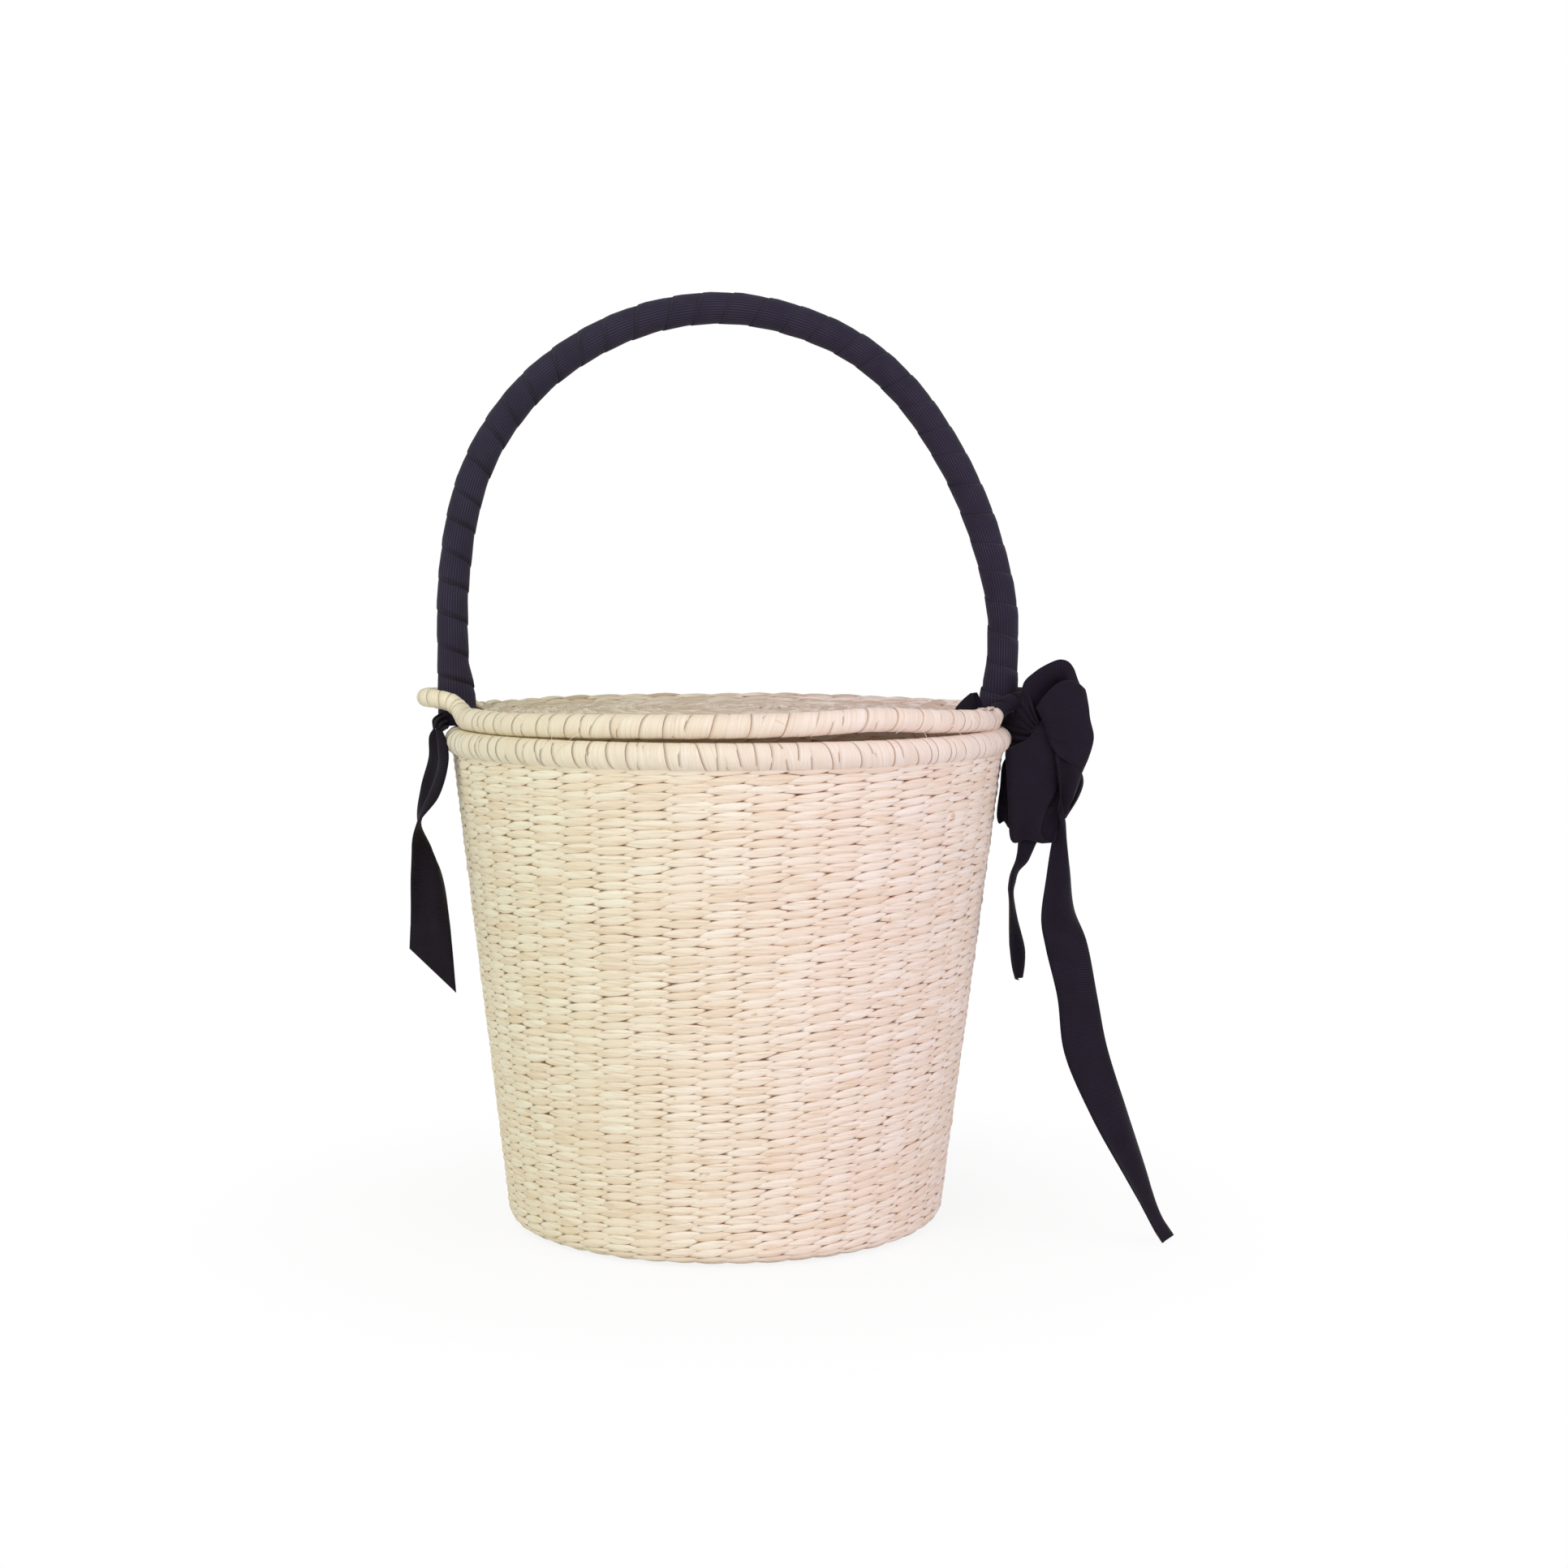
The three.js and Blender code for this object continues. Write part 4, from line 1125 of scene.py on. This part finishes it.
def handle_path():
    """The arch as bent by hand: shares of the legs' radius and of the handle's height."""
    shares = [(-1, 0), (-1, 0.09), (-1, 0.188), (-1, 0.287), (-0.988, 0.39), (-0.962, 0.498),
              (-0.916, 0.602), (-0.833, 0.71), (-0.676, 0.833), (-0.469, 0.927), (-0.24, 0.984),
              (0.004, 1), (0.242, 0.971), (0.462, 0.906), (0.643, 0.803), (0.777, 0.68), (0.861, 0.577),
              (0.925, 0.473), (0.973, 0.365), (1, 0.262), (1, 0.178), (1, 0.09), (1, 0)]
    foot = RIM_TOP + 0.3 * MM
    points = [(x * LEG_RADIUS, 0, foot + z * (HANDLE_TOP - foot)) for x, z in shares]
    return evenly(curve_through(points, 400), 2 * MM)


def pile_up_at_the_feet(piece):
    """Pushes the ribbon out on the inner side of each leg, more and more towards the foot."""
    spots = spots_of(piece)
    near = np.clip((1 - (spots[:, 2] - RIM_TOP) / PILE_HEIGHT) / 0.6, 0, 1)
    near = near * near * (3 - 2 * near)
    inwards = -np.sign(spots[:, 0])
    facing = np.clip(inwards * (spots[:, 0] + inwards * LEG_RADIUS) / (HANDLE_OVER_RIBBON / 2), 0, 1)
    spots[:, 0] += inwards * FOOT_FLARE * near * facing**2
    put_spots(piece, spots)


handle_line = handle_path()
handle = wrap("handle_turns", handle_line, HANDLE_OVER_RIBBON / 2 - 0.55 * MM, pitch=15.2 * MM,
              width=23 * MM, thickness=0.6 * MM, lap=0.9 * MM, material=wound_ribbon, wander=10 * MM,
              crease=0.5 * MM, hand=-1, seed=7.0, steps=36)
pile_up_at_the_feet(handle)
handle_bed = tube_mesh("handle_bed", handle_line, HANDLE_OVER_RIBBON / 2 - 1.0 * MM, 24, wound_ribbon)

# %% [markdown]
# ## Loose ribbon
#
# A loose ribbon is a strip between two edges, each a curve through a few points. Where the two
# edges come close, the cloth has nowhere to go and falls into pleats, so the strip is given just
# enough pleats to keep its width. Solidify gives it its thickness.


# %% Loose ribbon
def pleat_depth(wave, width):
    """How deep the pleats are where a ribbon has only this much width. It is found by halving."""
    low, high = 0.0, RIBBON_WIDTH
    for _ in range(24):
        depth = (low + high) / 2
        cloth = np.hypot(width / (len(wave) - 1), depth * np.diff(wave)).sum()
        low, high = (depth, high) if cloth < RIBBON_WIDTH else (low, depth)
    return low if width < RIBBON_WIDTH else 0.0


def with_strip(piece, places):
    """Gives each corner its place along and across a strip, as the ribbon's material reads it."""
    layer = piece.data.attributes.new("strip", "FLOAT_VECTOR", "POINT")
    layer.data.foreach_set("vector", np.array(places).ravel())
    return piece


def ribbon(name, first, second, place, steps, pleats=2, belly=0.0, middle=None, deepest=RIBBON_WIDTH):
    """A strip of grosgrain between two edges that are drawn in millimetres round a place. A third
    curve, halfway between the edges, may arch the strip, and a belly swells its middle."""
    a = curve_through(np.array(first) * MM + place, steps)
    b = curve_through(np.array(second) * MM + place, steps)
    halfway = (a + b) / 2
    arch = curve_through(np.array(middle) * MM + place, steps) - halfway if middle else np.zeros_like(a)
    spine = halfway + arch
    across = b - a
    width = np.linalg.norm(across, axis=1)
    normal = np.cross(across, np.gradient(spine, axis=0))
    normal /= np.linalg.norm(normal, axis=1)[:, None]
    lengths = lengths_along(spine)
    columns = 8 * pleats + 1
    v = np.linspace(0, 1, columns)
    hump = 4 * v * (1 - v)
    wave = np.sin(2 * math.pi * pleats * v) * np.sin(math.pi * v) ** 0.3
    spots, places = [], []
    for i in range(steps + 1):
        swelling = belly * hump * math.sin(math.pi * i / steps)
        lift = wave * min(pleat_depth(wave, width[i]), deepest) + swelling
        spots += list(a[i] + v[:, None] * across[i] + hump[:, None] * arch[i] + lift[:, None] * normal[i])
        places += [(lengths[i], (share - 0.5) * RIBBON_WIDTH, 0.0) for share in v]
    piece = with_strip(built(name, spots, grid_faces(steps + 1, columns), ribbon_cloth_painted_shade), places)
    shell = piece.modifiers.new("cloth", "SOLIDIFY")
    shell.thickness = RIBBON
    shell.offset = 0
    return piece, (RIBBON_WIDTH, float(lengths[-1]))


def carry(piece, body, slot, *nodes):
    """Lets a piece ride on a body of the CAD model and stand for its nodes."""
    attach(piece, body)
    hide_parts(*nodes)


def strip_piece(name, first, second, place, steps, held, rests_on, stands_for, body="basket", **look):
    """A loose ribbon on a body of the CAD model, in place of a node. Its flat size, as cut from the roll,
    is printed.
    """
    piece, flat = ribbon(name, first, second, place, steps, **look)
    carry(piece, body, "ribbon", stands_for)
    print(name, "is cut from", [round(v, 4) for v in flat], "m")


# %% [markdown]
# ## The ribbon on the left
#
# A band comes from the foot of the handle under the ear, is pinched, and hangs down as a tail that
# turns over once and is cut off at a slant.

# %% The ribbon on the left
strip_piece(
    "left_band_cloth",
    [(2.9, 18.4, 11.4), (0.6, 14, 10.6), (-1.4, 8, 8.5), (-0.6, 3, 4.6)],
    [(4.2, 18.9, 4.2), (5, 13, 3.8), (5.4, 5, 4.2), (4.6, -3.4, 3.4)],
    PINCH, 16, "gathered", ["handle_turns"], "left_ribbon_band", pleats=3,
)
strip_piece(
    "left_tail_cloth",
    [(-0.6, 3, 4.6), (-2.6, 2.6, 1), (-2.8, 2, -9), (-7, 3.6, -24), (-9.4, 11.5, -43), (1.6, 7, -65),
     (6.4, 1, -89), (9.4, 0, -124)],
    [(4.6, -3.2, 3.4), (6.8, -6, -1), (8.4, -14.4, -10), (3.4, -12, -27), (-7.8, -10, -42),
     (-11, -5, -63), (-12.2, 0.5, -85), (-13.2, 2, -102.5)],
    PINCH, 80, "hung", ["left_band_cloth"], "left_ribbon_tail", body="left_tail", belly=0.8 * MM,
    pleats=1, deepest=3 * MM,
)

# %% [markdown]
# ## The bow
#
# Two gathered bands come from the foot of the handle to the knot. One loop stands up and folds over,
# two hang in front of the wall, and two tails run down, the longer one to the floor. A pointed end
# is tucked into the lid beside the ear.

# %% The bow
strip_piece(
    "upper_band_cloth",
    [(-9, 0.5, 22), (-5.8, -1.5, 17.5), (-3.8, -3, 11), (-1.5, -3.4, 4.5)],
    [(-15, 7, 1), (-10, 2, 0), (-5.5, -1, -1.5), (-1, -2.6, -2.5)],
    KNOT, 24, "gathered", ["handle_turns"], "bow_upper_band", pleats=4,
)
strip_piece(
    "lower_band_cloth",
    [(-18.6, 14, 6.4), (-13.3, 6, 6.4), (-6.3, 0.5, 4), (-1, -2, 1)],
    [(-17.6, 12, -7), (-14.4, 3.5, -10), (-8.3, -1.5, -9.6), (-1.5, -3.5, -4)],
    KNOT, 24, "gathered", ["handle_turns"], "bow_lower_band", pleats=4,
)
strip_piece(
    "upper_loop_cloth",
    [(-6, 2, 8), (-9, 1.4, 17), (-8.6, 1, 24), (-3, 2, 29.5), (4, 3, 33.6), (9.4, 3.4, 35.4),
     (13.4, 3, 34.4), (16, 1.6, 31), (17.6, 0, 26), (20.2, -1, 19.5)],
    [(0, 2, -2), (0.4, 2.5, 2), (1.5, 3, 5), (4, 4, 9), (6, 4.6, 12), (8, 5, 14), (9, 4.4, 14),
     (10, 3, 13), (10.5, 1, 11), (11, 0, 8)],
    KNOT, 60, "folded", ["knot_cloth"], "bow_upper_loop", pleats=1,
)
strip_piece(
    "loop_panel_cloth",
    [(-1, 1.5, 2), (-2.6, 0, 8), (-2.8, -3.4, 12.2), (-1.8, -6.4, 9.5), (0, -7.6, 5.4), (1.4, -8.4, 0.6),
     (3.4, -9.2, -4.6), (6.8, -9.4, -10.4)],
    [(16, 1.5, 13), (18.5, 0.6, 18.6), (20.6, -2.4, 21.4), (22.2, -5.6, 14), (23, -6.6, 7),
     (24.8, -7.2, -2), (22.6, -7.6, -11), (19.4, -7.4, -18.7)],
    KNOT, 90, "folded", ["knot_cloth"], "bow_upper_loop", pleats=1, deepest=1 * MM,
    middle=[(7, 1.5, 13), (9, 0.4, 20), (9.6, -3.4, 24.9), (10.4, -7.4, 16), (12, -8.4, 8),
            (13.4, -8.8, 0), (13.6, -9.2, -8), (13.2, -9, -14.6)],
)
strip_piece(
    "small_loop_cloth",
    [(12, 3, -8), (19, 3, -17), (21.2, 2.4, -24), (19.2, 1.6, -31), (12.6, 1, -42)],
    [(6, 3.4, -10), (9, 3.4, -20), (10, 3, -27), (9.4, 2, -34), (7.4, 1, -44)],
    KNOT, 40, "folded", ["knot_cloth"], "bow_upper_loop", pleats=2,
)
strip_piece(
    "front_loop_cloth",
    [(-4, -1, -3), (-12, -2.4, -6), (-17, -6, -7.6), (-18.5, -10.4, -9.6), (-18.2, -12.6, -16),
     (-17.2, -13, -34), (-15.7, -11.6, -51), (-13.6, -9.4, -53.2), (-9, -6, -51), (-5, -4.5, -40),
     (-3, -4, -24), (-2, -3, -10)],
    [(0.4, -1.6, 0.6), (1.1, -3.4, 1.6), (2.6, -6, 1.9), (4.8, -6.4, -0.2), (7.4, -6, -7), (8, -6, -24),
     (0.5, -8.6, -40), (-0.6, -8.4, -49), (5.6, -6, -53.2), (9, -4, -46), (9.8, -3.4, -28), (7, -3, -10)],
    KNOT, 110, "folded", ["knot_cloth"], "bow_front_loop", pleats=1, belly=0.4 * MM, deepest=1.2 * MM,
)
strip_piece(
    "back_loop_cloth",
    [(-3.3, 1.9, -5.1), (-12.4, 0.9, -9.6), (-18, -0.4, -14), (-19.8, -0.8, -27), (-21.2, -0.4, -41),
     (-19.6, 3, -45), (-17.3, 5.9, -39), (-13.9, 6.9, -21), (-6.3, 6.1, -8.4)],
    [(0.3, 1.7, -5.4), (-0.4, 1.2, -9), (-1.3, 0.7, -15), (-3.7, 0.1, -28), (-5.7, 0.3, -42),
     (-5.9, 3.5, -46), (-5.3, 5.9, -39), (-2.9, 6.9, -21), (-1.5, 5.7, -9.4)],
    KNOT, 64, "folded", ["knot_cloth"], "bow_back_loop", belly=0.4 * MM,
)


def hung(points):
    """Turns the third number, a share of the knot's height, into millimetres below the knot."""
    return [(x, y, (share - 1) * KNOT[2] / MM) for x, y, share in points]


strip_piece(
    "long_tail_cloth",
    hung([(6, -9, 0.957), (7.4, -9.4, 0.92), (8.4, -8.8, 0.884), (9.8, -8, 0.85), (11.4, -6, 0.824),
          (12.4, -3.6, 0.784), (14.3, -2.5, 0.718), (16.1, -5.5, 0.643), (21.9, -7.9, 0.581),
          (27.1, -12.5, 0.465), (30.9, -18.5, 0.373), (39.7, -25.5, 0.249), (48.7, -31.5, 0.129),
          (55.1, -36.5, 0.037), (60.1, -39.5, 0.004)]),
    hung([(19.4, -7, 0.923), (18, -6.2, 0.9), (15.8, -5, 0.872), (12.6, -3.4, 0.846),
          (8.4, -3.4, 0.822), (5.4, -6, 0.784), (1.9, -11.5, 0.71), (-0.9, -15.5, 0.627),
          (1.3, -16.5, 0.568), (6.5, -20.5, 0.473), (9.3, -26.5, 0.365), (21.5, -36.5, 0.243),
          (36.1, -48.1, 0.133), (48.1, -55.5, 0.046), (53.5, -57.5, 0.012)]),
    KNOT, 140, "hung", ["knot_cloth", "loop_panel_cloth"], "bow_long_tail", belly=0.8 * MM, pleats=1,
    deepest=2.4 * MM,
)
strip_piece(
    "short_tail_cloth",
    [(6, -3, -36), (1.6, -3, -46), (-2, -1, -54), (-5.6, 1, -61), (-11.4, 6, -67), (-13.2, 9, -75),
     (-12.6, 9.5, -84), (-9.6, 8, -95), (-6.6, 7, -107), (-7.4, 6, -113), (-9.6, 3, -120.6)],
    [(-12, -5, -36), (-11.6, -7, -46), (-11.7, -9, -54), (-12.9, -10.4, -63), (-14.4, -11.5, -71),
     (-14.9, -11.5, -80), (-14.5, -10.4, -91), (-14.8, -9.4, -105), (-14, -8, -114), (-12.4, -7, -119),
     (-10.4, -5, -121)],
    KNOT, 90, "hung", ["front_loop_cloth"], "bow_short_tail", pleats=1, deepest=2 * MM,
)
strip_piece(
    "tucked_end_cloth",
    [(-12, -21, 0.4), (-11, -20.4, 2.9), (-7, -18, 7.6), (-2.4, -15, 11)],
    [(5, -9.8, -0.2), (4.6, -10.2, 2.4), (3.2, -11.4, 7), (0.8, -13.4, 11.2)],
    np.array([EAR_CORD_RADIUS, 0, LID_HEIGHT]), 16, "folded", ["lid_top"], "tucked_ribbon_end",
    body="lid", pleats=1, deepest=1.2 * MM,
)

# %% [markdown]
# The knot is a short turn of the same ribbon, pulled tight, so its ribs crowd together and its
# sides bulge. A ball with pleats round it has that shape.

# %% The knot
KNOT_HALF = [5.4 * MM, 6.2 * MM, 5.6 * MM]


def knot_ball(rings=20, sides=48):
    spots, places = [], []
    for tilt in np.linspace(0, math.pi, rings + 1):
        for a in np.linspace(0, 2 * math.pi, sides, endpoint=False):
            pleat = 1 + 0.07 * math.sin(5 * tilt + 0.6 * math.sin(a)) * math.sin(tilt)
            way = np.array([math.sin(tilt) * math.cos(a), math.sin(tilt) * math.sin(a), math.cos(tilt)])
            spots.append(KNOT + way * KNOT_HALF * pleat)
            places.append((a * 6 * MM, tilt * 6 * MM, 0))
    ball = built("knot_cloth", spots, grid_faces(rings + 1, sides, closed=True), ribbon_cloth_painted_shade)
    merged(with_strip(ball, places))
    return facing_out(ball)


knot = knot_ball()
print("knot", triangles(knot), "triangles")

# %% [markdown]
# ## Who carries what
#
# Every piece rides on a body of the CAD model, and says which node it stands for. The canes inside
# the wrappings keep their CAD shape and get a cane finish.

# %% Who carries what
bpy.data.objects.remove(stitch)
carried = [
    ("basket", "straw", "woven_base", base_outside, base_inside),
    ("basket", "straw", "woven_wall", wall_weave, wall_lining),
    ("basket", "wrapping", "rim_binding", rim_strip, rim_bed),
    ("basket", "ribbon", "handle_ribbon", handle, handle_bed),
    ("basket", "ribbon", "bow_knot", knot),
    ("lid", "straw", "lid_panel", lid_top, lid_under, lid_disc),
    ("lid", "wrapping", "lid_binding_front", lid_front, bed_front, stray_fibres),
    ("lid", "wrapping", "lid_binding_back", lid_back, bed_back),
    ("lid", "wrapping", "left_ear_binding", left_ear),
    ("lid", "ribbon", "right_ear_ribbon", right_ear),
    ("lid", "wrapping", "left_ear_cord", left_cord),
    ("lid", "wrapping", "right_ear_cord", right_cord),
]
for body, slot, stands_for, *pieces in carried:
    for piece in pieces:
        carry(piece, body, slot, stands_for)
carry(stakes, "basket", "straw", "woven_base", "woven_wall")
for name in ("rim_hoop", "lid_hoop", "handle_core"):
    hidden_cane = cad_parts[name]
    hidden_cane.data.materials.clear()
    hidden_cane.data.materials.append(cane)
print(sum(len(row) - 3 for row in carried) + 1, "pieces besides the strips of ribbon")

# %% [markdown]
# ## Light, floor and camera
#
# A white room with two large soft lamps, so that the weave shows by its own small shadows. A third
# lamp, tiny and faint, stands inside the basket, because daylight seeps through a real weave. The
# camera stands where the photograph was taken: 1.27 m away, a little above the rim.

# %% Light, floor and camera
ROOM_LIGHT = 0.62
FLOOR_GLOW = 0.86
SHADOW_REACH = 0.32
FLOOR_HALF = 3.0
FLOOR_SINK = 0.6 * MM
LAMPS_AIM = (0, 0, 0.2)
CAMERA_PLACE = (0, -1.2683, 0.3194)
CAMERA_DIP = 4.73
FOCAL_PIXELS = 3172
PHOTO_PIXELS = 1932
ASIDE_PIXELS = 68.5


def either(share, first, second):
    """Mixes two shaders."""
    box = node("ShaderNodeMixShader", Fac=share)
    put(box.inputs[1], first)
    put(box.inputs[2], second)
    return Term(box.outputs[0])


def is_ray(kind):
    return out(node("ShaderNodeLightPath"), f"Is {kind} Ray")


def white_world():
    """Pure white where it is seen, and a softer white as light."""
    world = bpy.data.worlds.new("white_room")
    world.use_nodes = True
    take(world.node_tree).nodes.clear()
    room = made("ShaderNodeBackground", Color=WHITE, Strength=ROOM_LIGHT)
    white = made("ShaderNodeBackground", Color=WHITE, Strength=1.0)
    seen = maths("MAXIMUM", is_ray("Camera"), is_ray("Transmission"))
    node("ShaderNodeOutputWorld", Surface=either(seen, room, white))
    bpy.context.scene.world = world


def pale_floor():
    """White to the camera, but for the soft shadow near the basket."""
    material, shader = new_material("pale_floor", roughness=0.9, Base_Color=(0.9, 0.9, 0.9, 1))
    away = out(node("ShaderNodeVectorMath", {"operation": "LENGTH"}, Vector=object_place()), "Value")
    share = eased(away, FLOOR_RADIUS, SHADOW_REACH) * (1 - FLOOR_GLOW) + FLOOR_GLOW
    glow = made("ShaderNodeEmission", Color=WHITE, Strength=1.0)
    surface = either(is_ray("Camera") * share, out(shader, "BSDF"), glow)
    put(in_hand.nodes["Material Output"].inputs["Surface"], surface)
    signs = ((-1, -1), (1, -1), (1, 1), (-1, 1))
    corners = [(x * FLOOR_HALF, y * FLOOR_HALF, -FLOOR_SINK) for x, y in signs]
    built("floor", corners, [(0, 1, 2, 3)], material, smooth=False)


def soft_lamp(name, place, size, power):
    lamp = bpy.data.lights.new(name, "AREA")
    lamp.shape = "SQUARE"
    lamp.size = size
    lamp.energy = power
    holder = shown(name, lamp)
    holder.location = place
    way = Vector(LAMPS_AIM) - Vector(place)
    holder.rotation_euler = way.to_track_quat("-Z", "Y").to_euler()


def camera_at_the_photo():
    data = bpy.data.cameras.new("camera")
    data.sensor_width = 36
    data.lens = FOCAL_PIXELS / PHOTO_PIXELS * data.sensor_width
    camera = shown("camera", data)
    camera.location = CAMERA_PLACE
    camera.rotation_euler = (math.radians(90 - CAMERA_DIP), 0, -math.atan(ASIDE_PIXELS / FOCAL_PIXELS))
    bpy.context.scene.camera = camera
    return camera


white_world()
pale_floor()
soft_lamp("key", (-0.7, -1.3, 1.3), 1.2, 11)
soft_lamp("fill", (1.2, -1.0, 0.7), 1.2, 5)
soft_lamp("through_the_weave", (0, 0, 0.05), 0.1, 0.03)
camera = camera_at_the_photo()
bpy.context.scene.view_settings.view_transform = "Standard"
print("lens", round(camera.data.lens, 2), "mm")

bpy.context.view_layer.update()
